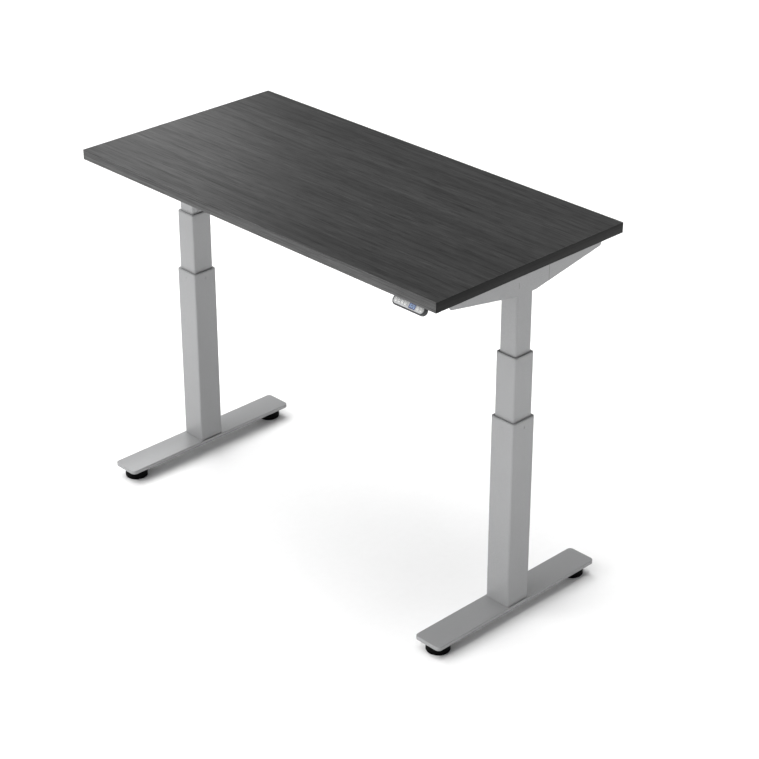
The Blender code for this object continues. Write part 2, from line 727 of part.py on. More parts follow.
def make_motor(side, sign):
    """A gearbox that sits in the bracket on top of the column, and its motor beside it."""
    column = (sign * COLUMN_X, 0, 0)
    size = (GEARBOX_WIDTH, GEARBOX_DEPTH, GEARBOX_TOP - GEARBOX_BOTTOM)
    housing = block(size, GEARBOX_BOTTOM, corner=GEARBOX_CORNER)
    gearbox = add_part(f"{side}_gearbox", housing, CAST_ALUMINIUM, at=column)
    plug_size = INNER_SIZE - 2 * TUBE_WALL - 2 * GAP
    plug_low = GEARBOX_BOTTOM - GEARBOX_PLUG
    plug = (plug_size, plug_size, GEARBOX_PLUG + DRIVE_SCREW_SEAT / 2)
    join(gearbox, block(plug, plug_low, corner=TUBE_CORNER - TUBE_WALL))
    bore = DRIVE_SCREW_RADIUS + THREAD_CLEARANCE
    bore_top = GEARBOX_BOTTOM + DRIVE_SCREW_SEAT + GAP
    cut(gearbox, rod(bore, plug_low - GEARBOX_PLUG, bore_top))

    cap_start = MOTOR_LENGTH - MOTOR_CAP
    profile = [
        (0, MOTOR_LENGTH),
        (MOTOR_RADIUS - MOTOR_CAP_BEVEL, MOTOR_LENGTH),
        (MOTOR_RADIUS, MOTOR_LENGTH - MOTOR_CAP_BEVEL),
        (MOTOR_RADIUS, cap_start),
        (MOTOR_RADIUS - MOTOR_CAN_STEP, cap_start),
        (MOTOR_RADIUS - MOTOR_CAN_STEP, MOTOR_FLANGE),
        (MOTOR_RADIUS, MOTOR_FLANGE),
        (MOTOR_RADIUS, 0),
        (0, 0),
    ]
    inward = Matrix.Rotation(-sign * math.pi / 2, 4, "Y")
    place = Matrix.Translation((-sign * MOTOR_START, 0, 0)) @ inward
    centre = (sign * COLUMN_X, 0, UNDERSIDE - MOTOR_DROP)
    add_part(f"{side}_motor", moved(turned(profile), place), ZINC, at=centre)


# --- frame under the top -------------------------------------------------------------


def bracket_outline():
    """The bracket's side view: level under the column, then tapering up to its two tips."""
    tip = BRACKET_LENGTH / 2
    flat = BRACKET_FLAT / 2
    corners = [
        (tip, 0),
        (-tip, 0),
        (-tip, -BRACKET_TIP),
        (-flat, -BRACKET_DEPTH),
        (flat, -BRACKET_DEPTH),
        (tip, -BRACKET_TIP),
    ]
    return rounded(corners, [0, 0, BRACKET_TIP_CORNER, 0, 0, BRACKET_TIP_CORNER])


def make_bracket(side, sign):
    """A pressed steel channel, open below, with a window for the motor in its inner wall."""
    at = (sign * COLUMN_X, 0, UNDERSIDE - GAP)
    solid = moved(extruded([bracket_outline()], BRACKET_WIDTH), PROFILE_TO_YZ)
    moved(solid, Matrix.Translation((-BRACKET_WIDTH / 2, 0, 0)))
    bracket = add_part(f"{side}_side_bracket", solid, SILVER_PAINT, at=at)
    inside = (BRACKET_WIDTH - 2 * BRACKET_SHEET, 2 * BRACKET_LENGTH, 2 * BRACKET_DEPTH)
    cut(bracket, block(inside, -BRACKET_SHEET - 2 * BRACKET_DEPTH))
    window_radius = MOTOR_RADIUS + MOTOR_WINDOW_GAP
    window = moved(rod(window_radius, 0, BRACKET_WIDTH), UPRIGHT_TO_X)
    shift = 0 if sign < 0 else -BRACKET_WIDTH
    cut(bracket, moved(window, Matrix.Translation((shift, 0, GAP - MOTOR_DROP))))
    for inset in BRACKET_SCREW_INSETS:
        distance = BRACKET_LENGTH / 2 - inset
        for y in (-distance, distance):
            reach = BRACKET_DEPTH / 4
            hole = rod(SCREW_HOLE_RADIUS, -reach, reach, at=(0, y), steps=HOLE_STEPS)
            cut(bracket, hole)


def make_rail(name, sign, lead_holes):
    """A C channel between the brackets, closed by a bolting plate at each end."""
    web = sign * RAIL_OFFSET
    lip = sign * (RAIL_OFFSET + RAIL_FLANGE)
    inner = sign * (RAIL_OFFSET + RAIL_SHEET)
    top, bottom = 0, -RAIL_HEIGHT
    channel = [
        (web, bottom),
        (lip, bottom),
        (lip, bottom + RAIL_SHEET),
        (inner, bottom + RAIL_SHEET),
        (inner, top - RAIL_SHEET),
        (lip, top - RAIL_SHEET),
        (lip, top),
        (web, top),
    ]
    length = 2 * RAIL_REACH - RAIL_END_SHEET
    shape = moved(extruded([channel], length), PROFILE_TO_YZ)
    moved(shape, Matrix.Translation((-length / 2, 0, 0)))
    rail = add_part(name, shape, SILVER_PAINT, at=(0, 0, UNDERSIDE - GAP))
    plate_y = sign * (RAIL_OFFSET - RAIL_SHEET + RAIL_END_WIDTH / 2)
    plate_x = RAIL_REACH - RAIL_END_SHEET / 2
    for x in (-plate_x, plate_x):
        size = (RAIL_END_SHEET, RAIL_END_WIDTH, RAIL_HEIGHT)
        join(rail, block(size, bottom - RAIL_END_OVERLAP, at=(x, plate_y)))
    for x in (-RAIL_SCREW_SPACING, 0, RAIL_SCREW_SPACING):
        place = (x, sign * (RAIL_OFFSET + RAIL_FLANGE * 0.6))
        reach = RAIL_HEIGHT / 2
        cut(rail, rod(SCREW_HOLE_RADIUS, -reach, reach, at=place, steps=HOLE_STEPS))
    for x in lead_holes:
        hole = moved(rod(LEAD_HOLE_RADIUS, -RAIL_FLANGE / 2, RAIL_FLANGE / 2), UPRIGHT_TO_Y)
        cut(rail, moved(hole, Matrix.Translation((x, web, GAP - LEAD_HOLE_DROP))))


# --- control box ---------------------------------------------------------------------


def make_control_box():
    """A base screwed up to the top, and a tray that holds the board and the sockets."""
    base_length = CONTROL_LENGTH + 2 * CONTROL_EAR
    size = (base_length, CONTROL_WIDTH, CONTROL_BASE)
    at = (0, CONTROL_Y, 0)
    base = block(size, CONTROL_BASE_BOTTOM, corner=CONTROL_CORNER)
    base = add_part("control_box_base", base, DARK_PLASTIC, at=at)
    screw_x = base_length / 2 - CONTROL_SCREW_INSET
    for x in (-screw_x, screw_x):
        hole = rod(SCREW_HOLE_RADIUS, CONTROL_BOTTOM, DESK_HEIGHT, at=(x, 0), steps=HOLE_STEPS)
        cut(base, hole)

    outside = (CONTROL_LENGTH, CONTROL_WIDTH, CONTROL_DEPTH)
    tray = block(outside, CONTROL_BOTTOM, corner=CONTROL_CORNER)
    cover = add_part("control_box_cover", tray, DARK_PLASTIC, at=at)
    inside_length = CONTROL_LENGTH - 2 * CONTROL_WALL
    inside_width = CONTROL_WIDTH - 2 * CONTROL_WALL
    inside = (inside_length, inside_width, 2 * CONTROL_DEPTH)
    cavity = block(inside, CONTROL_BOTTOM + CONTROL_WALL, corner=CONTROL_CORNER - CONTROL_WALL)
    cut(cover, cavity)
    front = -CONTROL_WIDTH / 2
    for x in (-MOTOR_PLUG_X, HANDSET_PLUG_X, MOTOR_PLUG_X):
        opening = (PLUG_WIDTH + 2 * GAP, 4 * CONTROL_WALL, PLUG_HEIGHT + 2 * GAP)
        cut(cover, block(opening, PLUG_Z - PLUG_HEIGHT / 2 - GAP, at=(x, front)))
    opening = (4 * CONTROL_WALL, INLET_WIDTH + 2 * GAP, INLET_HEIGHT + 2 * GAP)
    low = inlet_z() - INLET_HEIGHT / 2 - GAP
    cut(cover, block(opening, low, at=(-CONTROL_LENGTH / 2, 0)))
    make_inlet()
    make_board()


def inlet_z():
    return (CONTROL_BOTTOM + CONTROL_TOP) / 2


def make_inlet():
    """A recessed three-pin mains inlet in the left end of the control box."""
    at = (-CONTROL_LENGTH / 2, CONTROL_Y, inlet_z())
    size = (INLET_DEPTH, INLET_WIDTH, INLET_HEIGHT)
    body = block(size, -INLET_HEIGHT / 2, at=(INLET_DEPTH / 2, 0))
    inlet = add_part("mains_inlet", body, BLACK_PLASTIC, at=at)
    lip_width = INLET_WIDTH + 2 * INLET_LIP
    lip_height = INLET_HEIGHT + 2 * INLET_LIP
    lip = (INLET_LIP_THICKNESS, lip_width, lip_height)
    lip_x = -GAP - INLET_LIP_THICKNESS / 2
    join(inlet, block(lip, -lip_height / 2, at=(lip_x, 0)))
    bridge_width = INLET_WIDTH - 2 * INLET_BRIDGE_INSET
    bridge_height = INLET_HEIGHT - 2 * INLET_BRIDGE_INSET
    bridge = (2 * INLET_LIP_THICKNESS, bridge_width, bridge_height)
    join(inlet, block(bridge, -bridge_height / 2))
    socket_reach = INLET_SOCKET_DEPTH + INLET_LIP_THICKNESS + GAP
    socket = (2 * socket_reach, INLET_SOCKET_WIDTH, INLET_SOCKET_HEIGHT)
    socket_x = INLET_SOCKET_DEPTH - socket_reach
    cut(inlet, block(socket, -INLET_SOCKET_HEIGHT / 2, at=(socket_x, 0)))
    for y, z in ((-PIN_SPACING, 0), (0, PIN_RISE), (PIN_SPACING, 0)):
        pin = (PIN_LENGTH, PIN_WIDTH, PIN_HEIGHT)
        pin_x = INLET_SOCKET_DEPTH + PIN_ROOT - PIN_LENGTH / 2
        join(inlet, block(pin, z - PIN_HEIGHT / 2, at=(pin_x, y)))


def make_board():
    """The control board on its standoffs, with the transformer and the sockets' blocks."""
    length = CONTROL_LENGTH - 2 * CONTROL_WALL - 2 * BOARD_MARGIN - INLET_DEPTH
    width = CONTROL_WIDTH - 2 * CONTROL_WALL - 2 * BOARD_MARGIN
    low = CONTROL_BOTTOM + CONTROL_WALL + BOARD_LIFT
    at = (INLET_DEPTH / 2, CONTROL_Y, 0)
    plate = block((length, width, BOARD_THICKNESS), low)
    board = add_part("control_board", plate, CIRCUIT_BOARD, at=at)
    root = low + BOARD_THICKNESS / 2
    join(board, block(TRANSFORMER, root, at=TRANSFORMER_AT))
    capacitor_top = root + CAPACITOR_HEIGHT
    join(board, rod(CAPACITOR_RADIUS, root, capacitor_top, at=CAPACITOR_AT, steps=HOLE_STEPS))
    join(board, block(HEAT_SINK, root, at=HEAT_SINK_AT))
    standoff_x = length / 2 - STANDOFF_INSET
    floor = CONTROL_BOTTOM + CONTROL_WALL + GAP
    for x in (-standoff_x, standoff_x):
        join(board, rod(STANDOFF_RADIUS, floor, root, at=(x, STANDOFF_Y), steps=HOLE_STEPS))


def make_plug(name, x):
    """A lead's plug, seated in its opening in the control box's front wall."""
    low = PLUG_Z - PLUG_HEIGHT / 2
    back = CONTROL_FRONT + PLUG_SEAT
    body = block((PLUG_WIDTH, PLUG_LENGTH, PLUG_HEIGHT), low, at=(0, -PLUG_LENGTH / 2))
    add_part(name, body, BLACK_PLASTIC, at=(x, back, 0))


# --- leads ---------------------------------------------------------------------------


def plug_face(x):
    """Where a lead meets the outer face of its plug."""
    return Vector((x, CONTROL_FRONT + PLUG_SEAT - PLUG_LENGTH - GAP, PLUG_Z))


def make_motor_lead(side, sign):
    """From the motor's end cap, through the rear rail and along the top to its plug.

    The offsets are the route's own chosen bends, from the places that it has to pass.
    """
    motor_z = UNDERSIDE - MOTOR_DROP
    hole_z = UNDERSIDE - LEAD_HOLE_DROP
    high_z = UNDERSIDE - 2 * MOTOR_LEAD_RADIUS - GAP
    lane_y = CONTROL_FRONT - MOTOR_LEAD_LANE
    plug = plug_face(MOTOR_PLUG_X)
    lane_start = MOTOR_LEAD_HOLE_X - 0.035
    lane_end = MOTOR_PLUG_X + 0.035
    lane = [lane_start + (lane_end - lane_start) * share / 3 for share in range(4)]
    route = [
        (MOTOR_END_X, 0, motor_z),
        (MOTOR_END_X - 0.012, 0, motor_z),
        (MOTOR_LEAD_HOLE_X + 0.014, 0.010, motor_z + 0.002),
        (MOTOR_LEAD_HOLE_X, RAIL_OFFSET - 0.014, hole_z),
        (MOTOR_LEAD_HOLE_X, RAIL_OFFSET + 0.010, hole_z),
        (MOTOR_LEAD_HOLE_X - 0.008, lane_y - 0.016, hole_z + 0.006),
        *((x, lane_y, high_z) for x in lane),
        (MOTOR_PLUG_X + 0.008, lane_y + 0.006, (high_z + plug.z) / 2),
        (plug.x, plug.y - 0.006, plug.z),
        tuple(plug),
    ]
    route = [(sign * x, y, z) for x, y, z in route]
    add_lead(f"{side}_motor_lead", route, MOTOR_LEAD_RADIUS)


def make_handset_lead(handset):
    """From the handset's back, along the top and through both rails to its plug.

    The offsets are the route's own chosen bends, from the places that it has to pass.
    """
    exit_x = LEAD_EXIT_INSET - HANDSET_LENGTH / 2
    exit_point = handset @ Vector((exit_x, 0, -HANDSET_THICKNESS - GAP))
    exit_end = handset @ Vector((exit_x, 0, -HANDSET_THICKNESS - 0.008))
    hole_z = UNDERSIDE - LEAD_HOLE_DROP
    high_z = UNDERSIDE - 2 * HANDSET_LEAD_RADIUS - GAP
    lane_y = CONTROL_FRONT - HANDSET_LEAD_LANE
    plug = plug_face(HANDSET_PLUG_X)
    front_y = -TOP_DEPTH / 2
    route = [
        tuple(exit_point),
        tuple(exit_end),
        (exit_point.x - 0.008, front_y + 0.044, UNDERSIDE - 0.015),
        (exit_point.x - 0.025, front_y + 0.062, high_z - 0.001),
        (exit_point.x - 0.060, front_y + 0.095, high_z),
        (exit_point.x - 0.110, front_y + 0.140, high_z),
        (HANDSET_LEAD_HOLE_X + 0.022, -RAIL_OFFSET - 0.060, high_z - 0.004),
        (HANDSET_LEAD_HOLE_X + 0.002, -RAIL_OFFSET - 0.026, hole_z),
        (HANDSET_LEAD_HOLE_X, -RAIL_OFFSET, hole_z),
        (HANDSET_LEAD_HOLE_X, 0, hole_z),
        (HANDSET_LEAD_HOLE_X, RAIL_OFFSET, hole_z),
        (HANDSET_LEAD_HOLE_X - 0.004, RAIL_OFFSET + 0.022, hole_z + 0.003),
        (HANDSET_LEAD_HOLE_X - 0.030, lane_y, high_z),
        (HANDSET_LEAD_HOLE_X - 0.110, lane_y, high_z),
        (HANDSET_PLUG_X + 0.070, lane_y, high_z),
        (HANDSET_PLUG_X + 0.024, lane_y + 0.002, high_z - 0.002),
        (HANDSET_PLUG_X + 0.003, plug.y - 0.016, plug.z),
        tuple(plug),
    ]
    add_lead("handset_lead", route, HANDSET_LEAD_RADIUS)


# --- handset -------------------------------------------------------------------------


def handset_place():
    """The centre of the handset's face. Its +Z points out of the face, and +Y up it."""
    lean = HANDSET_LEAN
    y = -TOP_DEPTH / 2 + HANDSET_WIDTH / 2 * math.sin(lean)
    z = UNDERSIDE - HANDSET_DROP + HANDSET_WIDTH / 2 * math.cos(lean)
    return (HANDSET_X, y, z), (math.pi / 2 - lean, 0, 0)


def inset_stadium(inset):
    return stadium(HANDSET_LENGTH - 2 * inset, HANDSET_WIDTH - 2 * inset)


def at_height(shape, z):
    return moved(shape, Matrix.Translation((0, 0, z)))


def make_handset(frame, matrix):
    """The handset's shell, face, display and keys, in the frame of its face."""
    shell = at_height(extruded([inset_stadium(0)], HANDSET_THICKNESS), -HANDSET_THICKNESS)
    housing = add_part("handset_housing", shell, DARK_PLASTIC, parent=frame)
    ledge = HANDSET_FACE_SINK + HANDSET_FACE + GAP
    mouth = extruded([inset_stadium(HANDSET_RIM)], HANDSET_THICKNESS)
    cut(housing, at_height(mouth, -ledge))
    pocket = extruded([inset_stadium(HANDSET_RIM + HANDSET_LEDGE)], HANDSET_THICKNESS)
    cut(housing, at_height(pocket, -HANDSET_POCKET))

    key_hole = (KEY_WIDTH + 2 * GAP, KEY_HEIGHT + 2 * GAP)
    holes = [upright_stadium(*key_hole, at=(x, 0)) for x in KEYS.values()]
    window = (DISPLAY_WIDTH + 2 * GAP, DISPLAY_HEIGHT + 2 * GAP)
    holes.append(rectangle(*window, DISPLAY_CORNER, at=(DISPLAY_X, 0)))
    face = extruded([inset_stadium(HANDSET_RIM + GAP), *holes], HANDSET_FACE)
    face_bottom = -HANDSET_FACE_SINK - HANDSET_FACE
    add_part("handset_face", at_height(face, face_bottom), PALE_PLASTIC, parent=frame)

    at = (DISPLAY_X, 0, 0)
    lip = rectangle(DISPLAY_WIDTH + DISPLAY_LIP, DISPLAY_HEIGHT + DISPLAY_LIP, DISPLAY_CORNER)
    pane = rectangle(DISPLAY_WIDTH, DISPLAY_HEIGHT, DISPLAY_CORNER)
    flange_low = face_bottom - GAP - DISPLAY_LIP
    display = at_height(extruded([lip], DISPLAY_LIP), flange_low)
    display = add_part("handset_display", display, BLUE_WINDOW, at=at, parent=frame)
    pane_low = flange_low + DISPLAY_LIP / 2
    join(display, at_height(extruded([pane], -HANDSET_FACE_SINK - pane_low), pane_low))

    for name, x in KEYS.items():
        make_key(name, x, face_bottom, frame)
    make_handset_board(face_bottom, frame)
    make_handset_mount(matrix)


def make_key(name, x, face_bottom, frame):
    """A key cap that stands through the face, held by a flange behind it."""
    low = face_bottom - GAP - KEY_FLANGE_THICKNESS
    flange = upright_stadium(KEY_WIDTH + 2 * KEY_FLANGE, KEY_HEIGHT + 2 * KEY_FLANGE)
    flange = at_height(extruded([flange], KEY_FLANGE_THICKNESS), low)
    key = add_part(name, flange, WHITE_PLASTIC, at=(x, 0, 0), parent=frame)
    cap_low = low + KEY_FLANGE_THICKNESS / 2
    cap_high = KEY_PROUD - HANDSET_FACE_SINK
    cap = upright_stadium(KEY_WIDTH, KEY_HEIGHT)
    join(key, at_height(extruded([cap], cap_high - cap_low), cap_low))


def make_handset_board(face_bottom, frame):
    """The handset's board, with a switch under each key."""
    inset = HANDSET_RIM + HANDSET_LEDGE + HANDSET_BOARD_MARGIN
    low = -HANDSET_BOARD_SINK
    plate = at_height(extruded([inset_stadium(inset)], HANDSET_BOARD_THICKNESS), low)
    board = add_part("handset_board", plate, CIRCUIT_BOARD, parent=frame)
    key_bottom = face_bottom - GAP - KEY_FLANGE_THICKNESS
    switch_low = low + HANDSET_BOARD_THICKNESS / 2
    switch_high = key_bottom - KEY_TRAVEL - GAP
    size = (SWITCH_SIZE, SWITCH_SIZE, switch_high - switch_low)
    for x in KEYS.values():
        join(board, block(size, switch_low, at=(x, 0)))


def make_handset_mount(matrix):
    """A folded plate: one leg against the top's underside, one behind the handset."""
    front = -TOP_DEPTH / 2
    plate = (MOUNT_LENGTH, MOUNT_PLATE_BACK - MOUNT_PLATE_FRONT, MOUNT_SHEET)
    middle = front + (MOUNT_PLATE_FRONT + MOUNT_PLATE_BACK) / 2
    leg = block(plate, UNDERSIDE - GAP - MOUNT_SHEET, at=(HANDSET_X, middle))
    mount = add_part("handset_mount", leg, BLACK_PLASTIC)
    wing_length = MOUNT_LENGTH - 2 * MOUNT_SHOULDER
    wing_size = (wing_length, MOUNT_WING_HIGH - MOUNT_WING_LOW, MOUNT_SHEET)
    wing_y = (MOUNT_WING_HIGH + MOUNT_WING_LOW) / 2
    wing_low = -HANDSET_THICKNESS - GAP - MOUNT_SHEET
    join(mount, moved(block(wing_size, wing_low, at=(0, wing_y)), matrix))


# --- assembly ------------------------------------------------------------------------


clear_scene()
parts = new_collection("standing_desk")
cutters = new_collection("cutters")

make_desktop()
for side_name, side_sign in SIDES.items():
    make_foot(side_name, side_sign)
    make_column(side_name, side_sign)
    make_motor(side_name, side_sign)
    make_bracket(side_name, side_sign)
    make_plug(f"{side_name}_motor_plug", side_sign * MOTOR_PLUG_X)
    make_motor_lead(side_name, side_sign)
make_rail("front_rail", -1, (HANDSET_LEAD_HOLE_X,))
make_rail("rear_rail", 1, (-MOTOR_LEAD_HOLE_X, HANDSET_LEAD_HOLE_X, MOTOR_LEAD_HOLE_X))
make_control_box()
make_plug("handset_plug", HANDSET_PLUG_X)
location, rotation = handset_place()
handset_frame = add_empty("handset_frame", location, rotation)
bpy.context.view_layer.update()
make_handset(handset_frame, handset_frame.matrix_world.copy())
make_handset_lead(handset_frame.matrix_world.copy())
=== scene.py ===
"""Looks of the height adjustable standing desk: its finishes, small hardware and studio.

Metres, +Z up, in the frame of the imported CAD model. Places come from the CAD nodes' boxes,
and every new piece rides on a CAD body.
"""

import math

import bmesh
import bpy
from mathutils import Matrix, Vector


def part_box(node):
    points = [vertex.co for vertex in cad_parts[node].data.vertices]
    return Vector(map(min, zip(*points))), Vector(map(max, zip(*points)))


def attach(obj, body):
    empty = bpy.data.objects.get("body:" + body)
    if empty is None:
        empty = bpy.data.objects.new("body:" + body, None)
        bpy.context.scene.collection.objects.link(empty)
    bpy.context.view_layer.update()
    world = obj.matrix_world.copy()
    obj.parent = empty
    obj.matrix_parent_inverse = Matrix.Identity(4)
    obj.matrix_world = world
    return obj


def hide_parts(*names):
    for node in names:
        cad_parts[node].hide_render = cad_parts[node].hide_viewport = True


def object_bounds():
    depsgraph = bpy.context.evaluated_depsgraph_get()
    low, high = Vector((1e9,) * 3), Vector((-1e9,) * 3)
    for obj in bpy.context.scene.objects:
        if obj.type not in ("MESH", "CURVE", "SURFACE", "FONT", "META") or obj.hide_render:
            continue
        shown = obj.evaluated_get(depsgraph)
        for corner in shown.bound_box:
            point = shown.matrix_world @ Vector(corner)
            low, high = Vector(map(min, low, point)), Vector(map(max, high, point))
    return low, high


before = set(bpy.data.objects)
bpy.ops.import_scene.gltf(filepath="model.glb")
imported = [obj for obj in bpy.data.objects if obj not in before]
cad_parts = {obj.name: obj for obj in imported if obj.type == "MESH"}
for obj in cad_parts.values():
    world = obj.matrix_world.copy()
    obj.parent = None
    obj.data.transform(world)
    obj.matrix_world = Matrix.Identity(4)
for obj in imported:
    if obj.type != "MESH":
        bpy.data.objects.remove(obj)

cad_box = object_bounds()

# Camera and studio
CAMERA_AT = (3.334, -3.123, 2.806)
CAMERA_PITCH = math.radians(27.72)
CAMERA_YAW = math.radians(45.79)
CAMERA_LENS = 100.07
CAMERA_SENSOR = 36.0
CAMERA_REACH = 200.0
SUN_AIM = (0, 0, 0.5)
FLOOR_SIZE = 240.0
FLOOR_DROP = 0.0003

# What many pieces share. HAIR is a gap that keeps two faces from lying in one place.
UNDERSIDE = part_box("desktop_panel")[0].z
SIDES = {"left": -1, "right": 1}
CORNERS = ((1, 1), (-1, 1), (-1, -1), (1, -1))
DOWN = (0, 0, -1)
ROUND_STEPS = 64
SMALL_STEPS = 24
SHARP_ANGLE = math.radians(35)
HAIR = 0.00003

# Edge band: its rounding, and painted shade on its two ends
BAND_ARRIS = 0.0009
BAND_CORNER = 0.0022
BAND_INNER_CORNER = 0.0004
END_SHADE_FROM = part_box("edge_band")[1].x - 0.0008
END_SHADE_TONE = 0.1

# Side bracket: painted shade on the joint line behind the column and on the short slot in front
# of it
JOINT_LINE_Y = 0.069
JOINT_LINE_HALF = 0.0007
SLOT_Y = -0.028
SLOT_HALF = 0.0006
SLOT_Z = UNDERSIDE - 0.030
SLOT_REACH = 0.007

# Screws, nuts and bolts
SCREW_RADIUS = 0.0048
SCREW_HEIGHT = 0.0024
NUT_WIDTH = 0.013
NUT_HEIGHT = 0.0045
BOLT_RADIUS = 0.004

# Feet: plate, and the threaded studs that hold the glides
FOOT_THICKNESS = 0.010
FOOT_CORNER = 0.011
FOOT_RIM = 0.0013
FOOT_BOLT_REACH = 0.022
STUD_RADIUS = 0.0034
STUD_RIDGE = 0.0006
STUD_STEP = 0.0005

# Where the screws of the frame stand, and how far their faces lie under the top
BRACKET_SCREWS_Y = (-0.215, -0.125, 0.125, 0.215)
BRACKET_FACE = 0.0028
RAIL_BOLTS_Y = (-0.066, 0.066)
RAIL_BOLTS_DROP = (0.012, 0.030)
RAIL_PLATE = 0.003
RAIL_SCREWS_X = (-0.25, 0.0, 0.25)
RAIL_SCREWS_Y = 0.0632
RAIL_FACE = 0.0023
BOX_SCREWS_X = (-0.141, 0.141)
BOX_FACE = 0.0033
MOUNT_SCREWS_X = (-0.015, 0.015)
MOUNT_SCREW_INSET = 0.009

# Motor and control box
MOTOR_SCREWS_Y = (-0.0145, 0.0145)
MOTOR_SCREW_SINK = 0.0012
SLAT_COUNT = 9
SLAT_PITCH = 0.007
SLAT_SIZE = (0.003, 0.034)
SLAT_HEIGHT = 0.0006
SLATS_FROM = (0.03, 0.012)
COVER_SCREW_INSET = 0.009

# Handset: +X along it, z = 0 on its face
HANDSET_LENGTH = 0.096
HANDSET_WIDTH = 0.024
HANDSET_THICKNESS = 0.013
HANDSET_LEAN = math.radians(35)
HANDSET_RIM = 0.0033
HANDSET_POCKET = 0.009
FACE_TOP = -0.0002
FACE_THICKNESS = 0.0018
FACE_GAP = 0.0003
FACE_RIM = 0.00015
LEDGE = FACE_TOP - FACE_THICKNESS - FACE_GAP
DISPLAY_HOLE = (0.0196, 0.0131, 0.0012)
KEY_HOLE = (0.0094, 0.0068)
KEY_SIZE = (0.0088, 0.0062)
KEY_TOP = 0.0008
KEY_NUMERALS = {"key_1": "1", "key_2": "2", "key_3": "3"}
NUMERAL_SIZE = 0.0048
PRINT_THICKNESS = 0.00006
PRINT_SINK = 0.00001

# Digits of the display: the segments that each one lights, and their measures. BAR_INSET counts
# in half bars.
DIGITS = "920"
SEGMENTS = {"0": "abcdef", "2": "abged", "9": "abcdfg"}
DIGIT_HALF = 0.0031
DIGIT_WIDTH = 0.0032
DIGIT_PITCH = 0.0056
DIGITS_FROM = 0.0077
DIGIT_SLANT = 0.08
DIGIT_THICKNESS = 0.00004
BAR_HALF = 0.0004
BAR_INSET = 1.25
POINT_AT = 0.0024
POINT_RADIUS = 0.0005

# Leads: the points that each one passes through. The left motor's lead mirrors the right's.
MOTOR_LEAD_RADIUS = 0.0025
MOTOR_LEAD = [
    (0.423, 0, 0.866), (0.411, 0, 0.866), (0.384, 0.01, 0.868), (0.37, 0.036, 0.873),
    (0.37, 0.06, 0.873), (0.362, 0.083, 0.879), (0.335, 0.099, 0.8897),
    (0.265, 0.099, 0.8897), (0.195, 0.099, 0.8897), (0.125, 0.099, 0.8897),
    (0.098, 0.105, 0.8846), (0.09, 0.1087, 0.8794), (0.09, 0.1147, 0.8794),
]
HANDSET_LEAD_RADIUS = 0.002
HANDSET_LEAD = [
    (0.4765, -0.2822, 0.8767), (0.4765, -0.2759, 0.8723), (0.4685, -0.256, 0.88),
    (0.4515, -0.238, 0.8897), (0.4165, -0.205, 0.8907), (0.3665, -0.16, 0.8907),
    (0.322, -0.11, 0.8867), (0.302, -0.076, 0.873), (0.3, -0.05, 0.873),
    (0.3, 0, 0.873), (0.3, 0.05, 0.873), (0.296, 0.072, 0.876), (0.27, 0.087, 0.8907),
    (0.19, 0.087, 0.8907), (0.11, 0.087, 0.8907), (0.064, 0.089, 0.8887),
    (0.043, 0.0987, 0.8794), (0.04, 0.1147, 0.8794),
]
FIRST_RELIEF = 0.011
LAST_RELIEF = 0.007
RELIEF_FLARE = 0.0016
RELIEF_RIBS = 4
RIB_HEIGHT = 0.0004

# Clips: where they stand on the straight runs, and the band over the lead
MOTOR_CLIPS_X = (0.30, 0.225, 0.15)
MOTOR_CLIPS_YZ = (0.099, 0.8897)
HANDSET_CLIPS_X = (0.235, 0.155)
HANDSET_CLIPS_YZ = (0.087, 0.8907)
CLIP_BAND = 0.0011
CLIP_EASE = 0.0001
CLIP_LENGTH = 0.006
CLIP_END = 0.0008
CLIP_EDGE = 0.0002
CLIP_STEPS = 12
CLIP_FOOT = (0.018, 0.009, 0.0025)
CLIP_FOOT_HEIGHT = 0.0013
CLIP_FOOT_EDGE = 0.0004


# --- materials -----------------------------------------------------------------------


def plug_in(tree, value, socket):
    if isinstance(value, bpy.types.NodeSocket):
        tree.links.new(value, socket)
    else:
        socket.default_value = value


def add_node(tree, kind, sockets=None, **settings):
    made = tree.nodes.new(kind)
    for name, value in settings.items():
        setattr(made, name, value)
    for name, value in (sockets or {}).items():
        plug_in(tree, value, made.inputs[name])
    return made


def grey(value):
    return (value, value, value, 1.0)


def new_material(name, roughness, metallic=0.0, **sockets):
    """A Principled material. Returns it with its node tree and shader."""
    made = bpy.data.materials.new(name)
    made.use_nodes = True
    shader = made.node_tree.nodes["Principled BSDF"]
    shader.inputs["Roughness"].default_value = roughness
    shader.inputs["Metallic"].default_value = metallic
    for socket, value in sockets.items():
        shader.inputs[socket.replace("_", " ")].default_value = value
    return made, made.node_tree, shader


def noise(tree, stretch, detail=2.0, roughness=0.5, shift=(0, 0, 0), wander=0.0):
    """Noise over the object's own metres. A larger stretch makes finer marks on that axis."""
    where = add_node(tree, "ShaderNodeTexCoord")
    mapping = add_node(
        tree, "ShaderNodeMapping",
        {"Vector": where.outputs["Object"], "Scale": stretch, "Location": shift},
    )
    made = add_node(
        tree, "ShaderNodeTexNoise",
        {"Vector": mapping.outputs["Vector"], "Scale": 1.0, "Detail": detail,
         "Roughness": roughness, "Distortion": wander},
    )
    return made.outputs["Fac"]


def ramp(tree, factor, stops):
    """A colour for each factor, from (position, colour) stops."""
    made = add_node(tree, "ShaderNodeValToRGB", {"Fac": factor})
    elements = made.color_ramp.elements
    elements[0].position, elements[0].color = stops[0]
    elements[1].position, elements[1].color = stops[-1]
    for position, colour in stops[1:-1]:
        elements.new(position).color = colour
    return made.outputs["Color"]


def split_place(tree, kind="Object"):
    """The X, Y and Z of a texture coordinate."""
    where = add_node(tree, "ShaderNodeTexCoord")
    return add_node(tree, "ShaderNodeSeparateXYZ", {"Vector": where.outputs[kind]}).outputs


